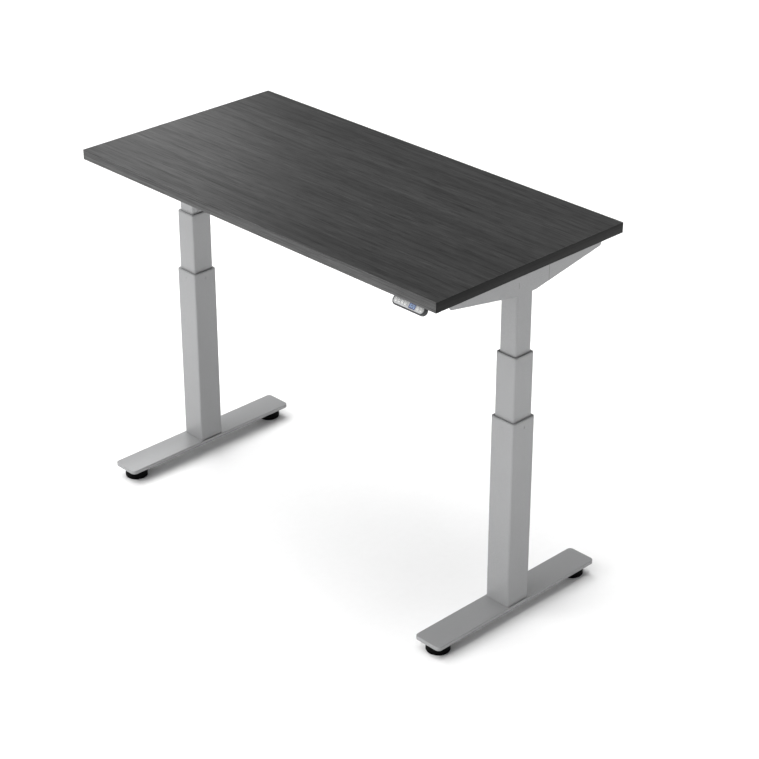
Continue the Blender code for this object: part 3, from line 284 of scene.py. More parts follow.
def between(tree, factor, low, high):
    """The factor's usual span turned into numbers from low to high."""
    made = add_node(
        tree, "ShaderNodeMapRange",
        {"Value": factor, "From Min": 0.3, "From Max": 0.7, "To Min": low, "To Max": high},
    )
    return made.outputs["Result"]


def calculate(tree, operation, first, second, third=0.0):
    made = add_node(tree, "ShaderNodeMath", operation=operation)
    for socket, value in zip(made.inputs, (first, second, third)):
        plug_in(tree, value, socket)
    return made.outputs["Value"]


def mixed(tree, factor, first, second, blend="MIX"):
    made = add_node(tree, "ShaderNodeMix", data_type="RGBA", blend_type=blend)
    plug_in(tree, factor, made.inputs[0])
    plug_in(tree, first, made.inputs[6])
    plug_in(tree, second, made.inputs[7])
    return made.outputs[2]


def add_bump(tree, shader, height, strength, distance):
    bump = add_node(
        tree, "ShaderNodeBump", {"Height": height, "Strength": strength, "Distance": distance}
    )
    tree.links.new(bump.outputs["Normal"], shader.inputs["Normal"])


def grained(name, colour, roughness, grain, depth, spread=0.08, metallic=0.0, **sockets):
    """A plain finish with fine surface grain, slight colour cloud and uneven gloss."""
    made, tree, shader = new_material(name, roughness, metallic, **sockets)
    cloud = noise(tree, (9, 9, 9), 3)
    fine = noise(tree, (grain, grain, grain), 2)
    shade = calculate(tree, "MULTIPLY_ADD", cloud, 0.5, calculate(tree, "MULTIPLY", fine, 0.5))
    dark = (*(c * (1 - spread) for c in colour), 1.0)
    light = (*(c * (1 + spread) for c in colour), 1.0)
    tree.links.new(ramp(tree, shade, [(0.35, dark), (0.65, light)]), shader.inputs["Base Color"])
    tree.links.new(
        between(tree, cloud, roughness - 0.04, roughness + 0.04), shader.inputs["Roughness"]
    )
    add_bump(tree, shader, fine, 0.5, depth)
    return made


def silver_paint(name, with_groove_shade=False):
    """Silver powder coat: metallic flecks under a fine orange peel, with painted shade on the
    bracket's joint line and slot when asked.
    """
    made, tree, shader = new_material(
        name, 0.42, 0.25, Specular_IOR_Level=0.4, Coat_Weight=0.2, Coat_Roughness=0.2
    )
    flecks = noise(tree, (1900, 1900, 1900), 1)
    cloud = noise(tree, (6, 6, 6), 3)
    peel = noise(tree, (750, 750, 750), 2)
    base = ramp(tree, flecks, [(0.3, SILVER_DARK), (0.52, SILVER), (0.75, SILVER_LIGHT)])
    tone = ramp(tree, cloud, [(0.3, grey(0.95)), (0.7, grey(1.0))])
    colour = mixed(tree, 1.0, base, tone, "MULTIPLY")
    if with_groove_shade:
        line = groove_shade_lines(tree)
        # Painted shade: the joint line and the slot are drawn dark grey, as the shade in their
        # grooves.
        colour = mixed(tree, line, colour, grey(0.14))
        peel = calculate(tree, "SUBTRACT", peel, calculate(tree, "MULTIPLY", line, 3.0))
    tree.links.new(colour, shader.inputs["Base Color"])
    tree.links.new(between(tree, flecks, 0.36, 0.5), shader.inputs["Roughness"])
    add_bump(tree, shader, peel, 0.35, 0.00006)
    return made


def groove_shade_lines(tree):
    """1 on the bracket's joint line and on its slot, where shade is painted, and 0 elsewhere."""
    place = split_place(tree)
    joint = calculate(tree, "COMPARE", place["Y"], JOINT_LINE_Y, JOINT_LINE_HALF)
    slot = calculate(tree, "COMPARE", place["Y"], SLOT_Y, SLOT_HALF)
    reach = calculate(tree, "COMPARE", place["Z"], SLOT_Z, SLOT_REACH)
    slot = calculate(tree, "MULTIPLY", slot, reach)
    return calculate(tree, "MAXIMUM", joint, slot)


def wood_laminate(name, tint, along_edge=False):
    """Dark wood print: bands, streaks, dashes and pores, all of them long along the grain."""
    made, tree, shader = new_material(name, 0.4, Specular_IOR_Level=0.12)
    if along_edge:
        stretch = [(1.3, 1.3, 60), (5, 5, 330), (14, 14, 700), (20, 20, 1500)]
    else:
        stretch = [(1.1, 17, 17), (4, 95, 95), (13, 340, 340), (20, 800, 800)]
    bands = noise(tree, stretch[0], 4, 0.55)
    streaks = noise(tree, stretch[1], 5, 0.65, (3.1, 0.7, 0))
    dashes = noise(tree, stretch[2], 3, 0.6, (1.7, 2.9, 0), 0.5)
    pores = noise(tree, stretch[3], 2, 0.5, (0.4, 5.2, 0))
    base = ramp(
        tree, bands, [(0.3, grey(0.80 * tint)), (0.5, grey(tint)), (0.72, grey(1.28 * tint))]
    )
    lines = ramp(tree, streaks, [(0.32, grey(0.55)), (0.47, grey(0.96)), (0.7, grey(1.22))])
    marks = ramp(
        tree, dashes,
        [(0.33, grey(0.2)), (0.43, grey(0.95)), (0.58, grey(1.05)), (0.70, grey(1.7))],
    )
    holes = ramp(tree, pores, [(0.34, grey(0.45)), (0.46, grey(1.0))])
    colour = mixed(tree, 1.0, base, lines, "MULTIPLY")
    colour = mixed(tree, 0.4 if along_edge else 1.0, colour, marks, "MULTIPLY")
    colour = mixed(tree, 0.75, colour, mixed(tree, 1.0, colour, holes, "MULTIPLY"))
    if along_edge:
        # Painted shade: the band's two end faces are drawn darker than its front and back.
        reach = calculate(tree, "ABSOLUTE", split_place(tree)["X"], 0.0)
        end_shade_mask = calculate(tree, "GREATER_THAN", reach, END_SHADE_FROM)
        end_shaded = mixed(tree, 1.0, colour, grey(END_SHADE_TONE), "MULTIPLY")
        colour = mixed(tree, end_shade_mask, colour, end_shaded)
    tree.links.new(colour, shader.inputs["Base Color"])
    tree.links.new(between(tree, streaks, 0.46, 0.36), shader.inputs["Roughness"])
    height = calculate(tree, "ADD", pores, calculate(tree, "MULTIPLY", dashes, 0.8))
    add_bump(tree, shader, height, 0.35, 0.0002)
    return made


def turned_steel(name, colour, roughness, grain):
    """Bare metal with the fine rings that turning or rolling leaves, close along one axis."""
    made, tree, shader = new_material(name, roughness, 1.0)
    rings = noise(tree, grain, 2)
    cloud = noise(tree, (20, 20, 20), 3)
    dark = (*(c * 0.82 for c in colour), 1.0)
    light = (*(c * 1.06 for c in colour), 1.0)
    tree.links.new(ramp(tree, cloud, [(0.3, dark), (0.7, light)]), shader.inputs["Base Color"])
    tree.links.new(
        between(tree, rings, roughness - 0.07, roughness + 0.08), shader.inputs["Roughness"]
    )
    add_bump(tree, shader, rings, 0.3, 0.00003)
    return made


def circuit_board():
    """Green lacquer over copper tracks."""
    made, tree, shader = new_material("board_green", 0.35, Coat_Weight=0.4)
    where = add_node(tree, "ShaderNodeTexCoord")
    cells = add_node(
        tree, "ShaderNodeTexVoronoi", {"Vector": where.outputs["Object"], "Scale": 260.0},
        distance="CHEBYCHEV",
    )
    tracks = ramp(
        tree, cells.outputs["Distance"],
        [(0.28, (0.012, 0.09, 0.035, 1)), (0.34, (0.02, 0.17, 0.06, 1))],
    )
    tree.links.new(tracks, shader.inputs["Base Color"])
    add_bump(tree, shader, cells.outputs["Distance"], 0.2, 0.00005)
    return made


def glowing(name, roughness, fineness, detail, dim, bright, strength, **sockets):
    """A blue surface that glows softly and unevenly."""
    made, tree, shader = new_material(name, roughness, **sockets)
    shade = noise(tree, (fineness, fineness, fineness), detail)
    blues = ramp(tree, shade, [(0.3, dim), (0.7, bright)])
    tree.links.new(blues, shader.inputs["Base Color"])
    tree.links.new(blues, shader.inputs["Emission Color"])
    shader.inputs["Emission Strength"].default_value = strength
    return made


# The three greys of the powder coat, and every finish by its name
SILVER = (0.290, 0.292, 0.295, 1.0)
SILVER_DARK = (0.253, 0.255, 0.258, 1.0)
SILVER_LIGHT = (0.351, 0.354, 0.358, 1.0)
FINISH = {
    "painted_silver": silver_paint("painted_silver"),
    "bracket_silver": silver_paint("bracket_silver", with_groove_shade=True),
    "laminate": wood_laminate("laminate", 0.0245),
    "edge": wood_laminate("edge", 0.074, along_edge=True),
    "collar_silver": grained("collar_silver", (0.225, 0.227, 0.23), 0.5, 1500, 0.00004),
    "glide_black": grained(
        "glide_black", (0.0012, 0.0012, 0.0012), 0.6, 900, 0.00006, Specular_IOR_Level=0.05
    ),
    "black_plastic": grained("black_plastic", (0.012, 0.012, 0.013), 0.5, 1500, 0.00004),
    "dark_plastic": grained(
        "dark_plastic", (0.018, 0.0185, 0.02), 0.5, 1600, 0.00004, Specular_IOR_Level=0.15
    ),
    "shell_plastic": grained(
        "shell_plastic", (0.055, 0.056, 0.058), 0.5, 1600, 0.00004, Specular_IOR_Level=0.15
    ),
    "pale_plastic": grained("pale_plastic", (0.40, 0.405, 0.41), 0.45, 2500, 0.00002, 0.03),
    "key_white": grained("key_white", (0.62, 0.62, 0.61), 0.4, 2500, 0.00002, 0.02),
    "guide_white": grained("guide_white", (0.62, 0.62, 0.58), 0.45, 900, 0.00004, 0.04),
    "display_blue": glowing(
        "display_blue", 0.12, 90, 2, (0.006, 0.012, 0.06, 1), (0.010, 0.024, 0.13, 1), 0.2,
        Coat_Weight=0.6, Coat_Roughness=0.05,
    ),
    "display_digits": glowing(
        "display_digits", 0.4, 500, 1, (0.18, 0.34, 0.60, 1), (0.27, 0.45, 0.72, 1), 0.2
    ),
    "print_grey": grained("print_grey", (0.10, 0.105, 0.11), 0.5, 2500, 0.00001),
    "steel": turned_steel("steel", (0.55, 0.55, 0.56), 0.3, (60, 60, 2600)),
    "zinc": turned_steel("zinc", (0.60, 0.61, 0.62), 0.38, (1900, 60, 60)),
    "cast_aluminium": grained(
        "cast_aluminium", (0.42, 0.42, 0.43), 0.5, 700, 0.0001, metallic=0.9
    ),
    "board_green": circuit_board(),
    "lead_black": grained("lead_black", (0.012, 0.012, 0.013), 0.5, 1200, 0.00005),
}

# The finish of the CAD nodes whose names end so
CAD_FINISH = {
    "desktop_panel": "laminate",
    "tube": "painted_silver",
    "rail": "painted_silver",
    "side_bracket": "bracket_silver",
    "collar": "collar_silver",
    "slider": "guide_white",
    "column_base": "steel",
    "carrier_tube": "zinc",
    "screw": "steel",
    "gearbox": "cast_aluminium",
    "plug": "black_plastic",
    "control_box_base": "dark_plastic",
    "control_box_cover": "dark_plastic",
    "control_board": "board_green",
    "mains_inlet": "black_plastic",
    "handset_board": "board_green",
    "handset_display": "display_blue",
    "handset_mount": "black_plastic",
}


def finish_cad_nodes():
    """Gives each CAD node the finish of the longest name that its own name ends with."""
    for name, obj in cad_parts.items():
        found = [end for end in CAD_FINISH if name.endswith(end)]
        if found:
            obj.material_slots[0].material = FINISH[CAD_FINISH[max(found, key=len)]]


# --- shapes --------------------------------------------------------------------------


def bridged(rings, closed=False):
    """A body through rings with equal counts of points, capped, or closed on itself."""
    shape = bmesh.new()
    rows = [[shape.verts.new(point) for point in ring] for ring in rings]
    pairs = list(zip(rows, rows[1:]))
    if closed:
        pairs.append((rows[-1], rows[0]))
    for low, high in pairs:
        for index, corner in enumerate(low):
            after = (index + 1) % len(low)
            shape.faces.new((corner, low[after], high[after], high[index]))
    if not closed:
        shape.faces.new(rows[0])
        shape.faces.new(rows[-1])
    bmesh.ops.recalc_face_normals(shape, faces=shape.faces)
    return shape


def circle(radius, z, steps=ROUND_STEPS):
    angles = [2 * math.pi * step / steps for step in range(steps)]
    return [(radius * math.cos(a), radius * math.sin(a), z) for a in angles]


def hexagon(width, z, steps=SMALL_STEPS):
    """Points round a hexagon, width across its flats, as many as on a circle."""
    ring = []
    for step in range(steps):
        angle = 2 * math.pi * step / steps
        off_flat = (angle % (math.pi / 3)) - math.pi / 6
        radius = width / 2 / math.cos(off_flat)
        ring.append((radius * math.cos(angle), radius * math.sin(angle), z))
    return ring


def plate(length, width, corner, z, steps=8):
    """Points round a rectangle with rounded corners."""
    ring = []
    for quarter, (x, y) in enumerate(CORNERS):
        for step in range(steps + 1):
            angle = math.pi / 2 * (quarter + step / steps)
            reach_x = x * (length / 2 - corner) + corner * math.cos(angle)
            reach_y = y * (width / 2 - corner) + corner * math.sin(angle)
            ring.append((reach_x, reach_y, z))
    return ring


def stadium(length, width, z, steps=16):
    """Points round a rectangle with half-round ends."""
    return plate(length, width, width / 2 - HAIR, z, steps)


def turned(points, across):
    """Points turned a quarter about +Z and then shifted along +X."""
    return [(across - y, x, *rest) for x, y, *rest in points]


def rounded_levels(low, high, edge, steps=4):
    """(inset, z) pairs up the side of a slab whose two rims are rounded."""
    angles = [math.pi / 2 * step / steps for step in range(steps + 1)]
    lower = [(edge * (1 - math.sin(a)), low + edge * (1 - math.cos(a))) for a in angles]
    upper = [(edge * (1 - math.cos(a)), high - edge * (1 - math.sin(a))) for a in angles]
    return lower + upper


def moved(shape, matrix):
    bmesh.ops.transform(shape, matrix=matrix, verts=shape.verts)
    return shape


def shifted(shape, x, y, z=0.0):
    return moved(shape, Matrix.Translation((x, y, z)))


def outlined(loops, thickness, edge=0.0):
    """Flat outlines with their holes, from z = 0 up, with rims rounded by edge."""
    curve = bpy.data.curves.new("outline", "CURVE")
    curve.dimensions = "2D"
    curve.fill_mode = "BOTH"
    curve.extrude = thickness / 2 - edge
    curve.bevel_depth = edge
    curve.bevel_resolution = 2
    curve.offset = -edge
    for loop in loops:
        spline = curve.splines.new("POLY")
        spline.points.add(len(loop) - 1)
        for point, corner in zip(spline.points, loop):
            point.co = (corner[0], corner[1], 0, 1)
        spline.use_cyclic_u = True
    return shifted(from_curve(curve), 0, 0, thickness / 2)


def from_curve(curve):
    """The curve's surface as a body with joined corners."""
    helper = bpy.data.objects.new("helper", curve)
    bpy.context.scene.collection.objects.link(helper)
    mesh = bpy.data.meshes.new_from_object(
        helper.evaluated_get(bpy.context.evaluated_depsgraph_get())
    )
    shape = bmesh.new()
    shape.from_mesh(mesh)
    bmesh.ops.remove_doubles(shape, verts=shape.verts, dist=1e-6)
    bpy.data.meshes.remove(mesh)
    bpy.data.objects.remove(helper, do_unlink=True)
    return shape


def add_piece(name, shapes, finish, body, stands_for=()):
    """One piece from one or more shapes, riding on a body."""
    whole = bpy.data.meshes.new(name)
    together = bmesh.new()
    for shape in shapes:
        part = bpy.data.meshes.new("part")
        shape.to_mesh(part)
        shape.free()
        together.from_mesh(part)
        bpy.data.meshes.remove(part)
    together.to_mesh(whole)
    together.free()
    whole.shade_smooth()
    whole.set_sharp_from_angle(angle=SHARP_ANGLE)
    obj = bpy.data.objects.new(name, whole)
    bpy.context.scene.collection.objects.link(obj)
    whole.materials.append(FINISH[finish])
    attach(obj, body)
    if stands_for:
        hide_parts(*stands_for)


def facing(direction, at):
    """A placement that turns +Z to the direction and moves the origin to the place."""
    turn = Vector((0, 0, 1)).rotation_difference(Vector(direction)).to_matrix().to_4x4()
    return Matrix.Translation(at) @ turn


def centre(node):
    low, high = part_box(node)
    return (low + high) / 2


# --- desktop and feet ----------------------------------------------------------------


def make_desktop_edge():
    """The edge band, with its upper and lower arrises slightly rounded."""
    low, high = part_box("edge_band")
    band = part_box("desktop_panel")[0].x - low.x - HAIR
    outside = rounded_levels(low.z, high.z, BAND_ARRIS, 3)
    rings = []
    for inset, z in [(band, low.z), *outside, (band, high.z)]:
        corner = max(BAND_CORNER - inset, BAND_INNER_CORNER)
        rings.append(plate(high.x - low.x - 2 * inset, high.y - low.y - 2 * inset, corner, z))
    add_piece("desktop_edge", [bridged(rings, closed=True)], "edge", "desk", ["edge_band"])


def make_foot(side):
    """The foot plate with softened rims, its levelling studs, and the nuts under it."""
    node = f"{side}_foot_plate"
    low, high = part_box(node)
    middle = centre(node)
    sole = high.z - FOOT_THICKNESS
    width, length = high.x - low.x, high.y - low.y
    rings = [
        plate(width - 2 * inset, length - 2 * inset, FOOT_CORNER - inset, z)
        for inset, z in rounded_levels(sole, high.z, FOOT_RIM)
    ]
    shapes = [shifted(bridged(rings), middle.x, middle.y)]
    for end in ("front", "rear"):
        glide = centre(f"{side}_{end}_glide")
        thread = [
            circle(STUD_RADIUS + STUD_RIDGE * (step % 2), low.z + step * STUD_STEP, SMALL_STEPS)
            for step in range(int((sole - low.z) / STUD_STEP) + 1)
        ]
        shapes.append(shifted(bridged(thread), glide.x, glide.y))
    add_piece(f"{side}_foot", shapes, "painted_silver", "base", [node])
    for index, (x, y) in enumerate(CORNERS, start=1):
        spot = (middle.x + FOOT_BOLT_REACH * x, middle.y + FOOT_BOLT_REACH * y)
        add_piece(f"{side}_foot_nut_{index}", [shifted(nut(sole), *spot)], "zinc", "base")


def nut(top):
    """A hexagon nut that hangs from a face, with the bolt's end through it."""
    bottom = top - NUT_HEIGHT
    rings = [
        circle(NUT_WIDTH * 0.5, top, SMALL_STEPS),
        hexagon(NUT_WIDTH, top - 0.0005),
        hexagon(NUT_WIDTH, bottom + 0.0006),
        circle(NUT_WIDTH * 0.94 / 2, bottom, SMALL_STEPS),
        circle(BOLT_RADIUS + 0.0004, bottom, SMALL_STEPS),
        circle(BOLT_RADIUS, bottom + 0.0004, SMALL_STEPS),
        circle(BOLT_RADIUS, bottom - 0.0012, SMALL_STEPS),
        circle(BOLT_RADIUS * 0.8, bottom - 0.0018, SMALL_STEPS),
    ]
    return bridged(rings)


def make_glide(side, end):
    """A levelling glide: a round black puck with a groove above its sole."""
    node = f"{side}_{end}_glide"
    low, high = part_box(node)
    radius = (high.x - low.x) / 2
    top = high.z
    levels = [
        (0.0046, top - 0.012),
        (0.0046, top - 0.0006),
        (0.0052, top),
        (radius - 0.0030, top),
        (radius - 0.0012, top - 0.0006),
        (radius - 0.0003, top - 0.0018),
        (radius, top - 0.0034),
        (radius, 0.0072),
        (radius - 0.0009, 0.0066),
        (radius - 0.0009, 0.0060),
        (radius, 0.0054),
        (radius, 0.0026),
        (radius - 0.0007, 0.0010),
        (radius - 0.0020, 0.0002),
        (radius - 0.0032, 0),
    ]
    spot = centre(node)
    puck = shifted(bridged([circle(r, z) for r, z in levels]), spot.x, spot.y)
    add_piece(f"{node}_puck", [puck], "glide_black", node, [node])


# --- frame under the top -------------------------------------------------------------


def pan_head(radius=SCREW_RADIUS, height=SCREW_HEIGHT):
    """A domed screw head with a hexagon socket, standing on z = 0."""
    socket = radius * 0.62
    rings = [
        circle(radius, 0, SMALL_STEPS),
        circle(radius, height * 0.3, SMALL_STEPS),
        circle(radius * 0.93, height * 0.62, SMALL_STEPS),
        circle(radius * 0.75, height * 0.9, SMALL_STEPS),
        circle(radius * 0.52, height, SMALL_STEPS),
        hexagon(socket, height * 0.98),
        hexagon(socket, height * 0.35),
    ]
    return bridged(rings)


def add_screws(name, places, direction, finish="zinc", **sizes):
    """A numbered screw head at each place, facing the direction, on the desk body."""
    for index, place in enumerate(places, start=1):
        head = moved(pan_head(**sizes), facing(direction, place))
        add_piece(f"{name}_{index}", [head], finish, "desk")


def make_frame_screws():
    """The screws that hold the brackets, rails, control box and handset to the top."""
    for side, sign in SIDES.items():
        x = centre(f"{side}_side_bracket").x
        places = [(x, y, UNDERSIDE - BRACKET_FACE) for y in BRACKET_SCREWS_Y]
        add_screws(f"{side}_bracket_screw", places, DOWN)
        x = sign * (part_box("front_rail")[1].x - RAIL_PLATE)
        places = [(x, y, UNDERSIDE - drop) for y in RAIL_BOLTS_Y for drop in RAIL_BOLTS_DROP]
        add_screws(f"{side}_rail_bolt", places, (-sign, 0, 0), radius=0.0042, height=0.003)
    for name, y in (("front", -RAIL_SCREWS_Y), ("rear", RAIL_SCREWS_Y)):
        places = [(x, y, UNDERSIDE - RAIL_FACE) for x in RAIL_SCREWS_X]
        add_screws(f"{name}_rail_screw", places, DOWN, radius=0.0045)
    y = centre("control_box_base").y
    add_screws("control_box_screw", [(x, y, UNDERSIDE - BOX_FACE) for x in BOX_SCREWS_X], DOWN)
    x = centre("handset_mount").x
    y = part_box("handset_mount")[1].y - MOUNT_SCREW_INSET
    places = [(x + shift, y, UNDERSIDE - BRACKET_FACE) for shift in MOUNT_SCREWS_X]
    add_screws("handset_mount_screw", places, DOWN, radius=0.0035, height=0.002)


def make_motor(side, sign):
    """The motor's flange, drawn can and end cap, with the cap's two long screws."""
    node = f"{side}_motor"
    low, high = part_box(node)
    length = high.x - low.x
    radius = (high.z - low.z) / 2
    can = radius - 0.0015
    levels = [
        (radius - 0.0006, 0), (radius, 0.0006), (radius, 0.0054), (radius - 0.0006, 0.006),
        (can, 0.0066), (can, 0.030), (can - 0.0004, 0.0306), (can - 0.0004, 0.0318),
        (can, 0.0324), (can, length - 0.014), (can - 0.0005, length - 0.0135),
        (can - 0.0005, length - 0.0125), (radius - 0.0005, length - 0.012),
        (radius, length - 0.0115), (radius, length - 0.003), (radius - 0.0009, length - 0.0009),
        (radius - 0.003, length), (0.0085, length), (0.0080, length - 0.0010),
        (0.0045, length - 0.0010),
    ]
    inward = (-sign, 0, 0)
    start = Vector((high.x if sign > 0 else low.x, 0, (low.z + high.z) / 2))
    case = moved(bridged([circle(r, z) for r, z in levels]), facing(inward, start))
    add_piece(f"{side}_motor_case", [case], "zinc", "desk", [node])
    x = start.x - sign * length + sign * MOTOR_SCREW_SINK
    places = [(x, y, start.z) for y in MOTOR_SCREWS_Y]
    add_screws(f"{side}_motor_screw", places, inward, "steel", radius=0.0026, height=0.0012)


def make_control_box_details():
    """Cooling slats under the control box's cover, and its four cover screws."""
    low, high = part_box("control_box_cover")
    spot = centre("control_box_cover")
    slats = []
    for index in range(SLAT_COUNT):
        slat = bridged([stadium(*SLAT_SIZE, z) for z in (0, SLAT_HEIGHT)])
        x = spot.x + SLATS_FROM[0] + index * SLAT_PITCH
        slats.append(shifted(slat, x, spot.y + SLATS_FROM[1], low.z - SLAT_HEIGHT))
    add_piece("control_box_slats", slats, "dark_plastic", "desk")
    places = [
        (x, y, low.z)
        for x in (low.x + COVER_SCREW_INSET, high.x - COVER_SCREW_INSET)
        for y in (low.y + COVER_SCREW_INSET, high.y - COVER_SCREW_INSET)
    ]
    add_screws("control_cover_screw", places, DOWN, "steel", radius=0.003, height=0.0014)


# --- leads ---------------------------------------------------------------------------


def make_lead(name, radius, points):
    """A round lead through its points, with a strain relief at each end."""
    curve = bpy.data.curves.new(name, "CURVE")
    curve.dimensions = "3D"
    curve.bevel_depth = radius
    curve.bevel_resolution = 3
    curve.use_fill_caps = True
    spline = curve.splines.new("BEZIER")
    spline.resolution_u = 8
    spline.bezier_points.add(len(points) - 1)
    for knot, point in zip(spline.bezier_points, points):
        knot.co = point
        knot.handle_left_type = "AUTO"
        knot.handle_right_type = "AUTO"
    add_piece(f"{name}_cable", [from_curve(curve)], "lead_black", "desk", [name])
    first = facing(Vector(points[1]) - Vector(points[0]), points[0])
    last = facing(Vector(points[-2]) - Vector(points[-1]), points[-1])
    reliefs = [
        moved(strain_relief(radius, FIRST_RELIEF), first),
        moved(strain_relief(radius, LAST_RELIEF), last),
    ]
    add_piece(f"{name}_reliefs", reliefs, "lead_black", "desk")


def strain_relief(radius, length):
    """A ribbed sleeve that tapers along the lead from z = 0."""
    rings = []
    steps = 4 * RELIEF_RIBS
    for step in range(steps + 1):
        share = step / steps
        rib = RIB_HEIGHT if step % 4 in (1, 2) else 0.0
        reach = radius + RELIEF_FLARE * (1 - share) + rib
        rings.append(circle(reach, share * length, SMALL_STEPS))
    return bridged(rings)


def make_clip(name, at, direction, radius):
    """A saddle that holds a lead up to the top's underside."""
    drop = UNDERSIDE - at[2]
    ends = drop - CLIP_END
    angles = [math.pi * step / CLIP_STEPS for step in range(CLIP_STEPS + 1)]

    def arc(reach):
        bow = [(reach * math.cos(a), -reach * math.sin(a)) for a in angles]
        return [(reach, ends), *bow, (-reach, ends)]

    outline = arc(radius + CLIP_BAND) + arc(radius + CLIP_EASE)[::-1]
    arch = outlined([outline], CLIP_LENGTH, CLIP_EDGE)
    shifted(arch, 0, 0, -CLIP_LENGTH / 2)
    moved(arch, Matrix(((1, 0, 0, 0), (0, 0, 1, 0), (0, 1, 0, 0), (0, 0, 0, 1))))
    length, width, corner = CLIP_FOOT
    saddle = bridged([
        plate(length - 2 * inset, width - 2 * inset, corner - inset, z)
        for inset, z in rounded_levels(drop - CLIP_FOOT_HEIGHT, drop - HAIR, CLIP_FOOT_EDGE, 2)
    ])
    turn = Vector((0, 1, 0)).rotation_difference(Vector(direction)).to_matrix().to_4x4()
    place = Matrix.Translation(at) @ turn
    add_piece(name, [moved(arch, place), moved(saddle, place)], "black_plastic", "desk")


def make_clips():
    """The clips on each lead's straight runs."""
    along = (1, 0, 0)
    for side, sign in SIDES.items():
        for index, x in enumerate(MOTOR_CLIPS_X, start=1):
            at = (sign * x, *MOTOR_CLIPS_YZ)
            make_clip(f"{side}_motor_clip_{index}", at, along, MOTOR_LEAD_RADIUS)
    for index, x in enumerate(HANDSET_CLIPS_X, start=1):
        make_clip(f"handset_clip_{index}", (x, *HANDSET_CLIPS_YZ), along, HANDSET_LEAD_RADIUS)
    start, end = (Vector(point) for point in HANDSET_LEAD[4:6])
    make_clip("handset_clip_3", (start + end) / 2, end - start, HANDSET_LEAD_RADIUS)


# --- handset -------------------------------------------------------------------------


def handset_frame():
    """The face's frame: +Z points out of the face and +Y up it."""
    turn = Matrix.Rotation(math.pi / 2 - HANDSET_LEAN, 4, "X")
    out = turn @ Vector((0, 0, 1))
    return Matrix.Translation(centre("handset_housing") + out * HANDSET_THICKNESS / 2) @ turn


def make_handset():
    """The handset's shell, its face with openings, the key caps and the lit digits."""
    place = handset_frame()
    back = -HANDSET_THICKNESS
    levels = [
        (HANDSET_RIM + 0.0015, -HANDSET_POCKET),
        (HANDSET_RIM + 0.0015, LEDGE),
        (HANDSET_RIM, LEDGE),
        (HANDSET_RIM, -0.0006),
        (HANDSET_RIM - 0.0003, -0.0002),
        (HANDSET_RIM - 0.0007, 0),
        (0.0013, 0),
        (0.0006, -0.0003),
        (0.0002, -0.0008),
        (0, -0.0016),
        (0, back + 0.0034),
        (0.0004, back + 0.0018),
        (0.0012, back + 0.0007),
        (0.0030, back),
    ]
    rings = [
        stadium(HANDSET_LENGTH - 2 * inset, HANDSET_WIDTH - 2 * inset, z) for inset, z in levels
    ]
    shell = moved(bridged(rings), place)
    add_piece(
        "handset_shell", [shell], "shell_plastic", "desk", ["handset_housing"]
    )

    def place_x(node):
        return centre(node).x - place.translation.x

    keys = [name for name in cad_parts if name.startswith("key_")]
    display_x = place_x("handset_display")
    inset = HANDSET_RIM + FACE_GAP
    outline = stadium(HANDSET_LENGTH - 2 * inset, HANDSET_WIDTH - 2 * inset, 0)
    holes = [turned(stadium(*KEY_HOLE, 0), place_x(name)) for name in keys]
    holes.append([(display_x + x, y) for x, y, _ in plate(*DISPLAY_HOLE, 0, 3)])
    face = outlined([outline, *holes], FACE_THICKNESS, FACE_RIM)
    moved(face, place @ Matrix.Translation((0, 0, FACE_TOP - FACE_THICKNESS)))
    add_piece("handset_panel", [face], "pale_plastic", "desk", ["handset_face"])
    for name in keys:
        make_key(name, place_x(name), place)
    make_digits(display_x, place)


def make_key(name, x, place):
    """A key cap with a soft rim and a hidden flange, and the sign printed on it."""
    levels = [
        (-0.0007, LEDGE - 0.001),
        (-0.0007, LEDGE),
        (0, LEDGE),
        (0, KEY_TOP - 0.0005),
        (0.00015, KEY_TOP - 0.0002),
        (0.0005, KEY_TOP),
        (0.0012, KEY_TOP),
    ]
    length, width = KEY_SIZE
    rings = [turned(stadium(length - 2 * inset, width - 2 * inset, z), x) for inset, z in levels]
    add_piece(f"{name}_cap", [moved(bridged(rings), place)], "key_white", name, [name])
    sign = moved(key_sign(name), place @ Matrix.Translation((x, 0, KEY_TOP - PRINT_SINK)))
    add_piece(f"{name}_print", [sign], "print_grey", name)


def key_sign(name):
    """A numeral, a ring, or an arrowhead up or down."""
    if name in KEY_NUMERALS:
        return numeral(KEY_NUMERALS[name])
    if name == "key_memory":
        rings = [circle(radius, 0, SMALL_STEPS) for radius in (0.0016, 0.0010)]
        return outlined(rings, PRINT_THICKNESS)
    up = 1 if name == "key_up" else -1
    arrow = [(-0.0017, -0.0011 * up), (0.0017, -0.0011 * up), (0, 0.0015 * up)]
    return outlined([arrow], PRINT_THICKNESS)


def numeral(text):
    curve = bpy.data.curves.new("numeral", "FONT")
    curve.body = text
    curve.size = NUMERAL_SIZE
    curve.align_x = "CENTER"
    curve.align_y = "CENTER"
    curve.extrude = PRINT_THICKNESS / 2
    return from_curve(curve)


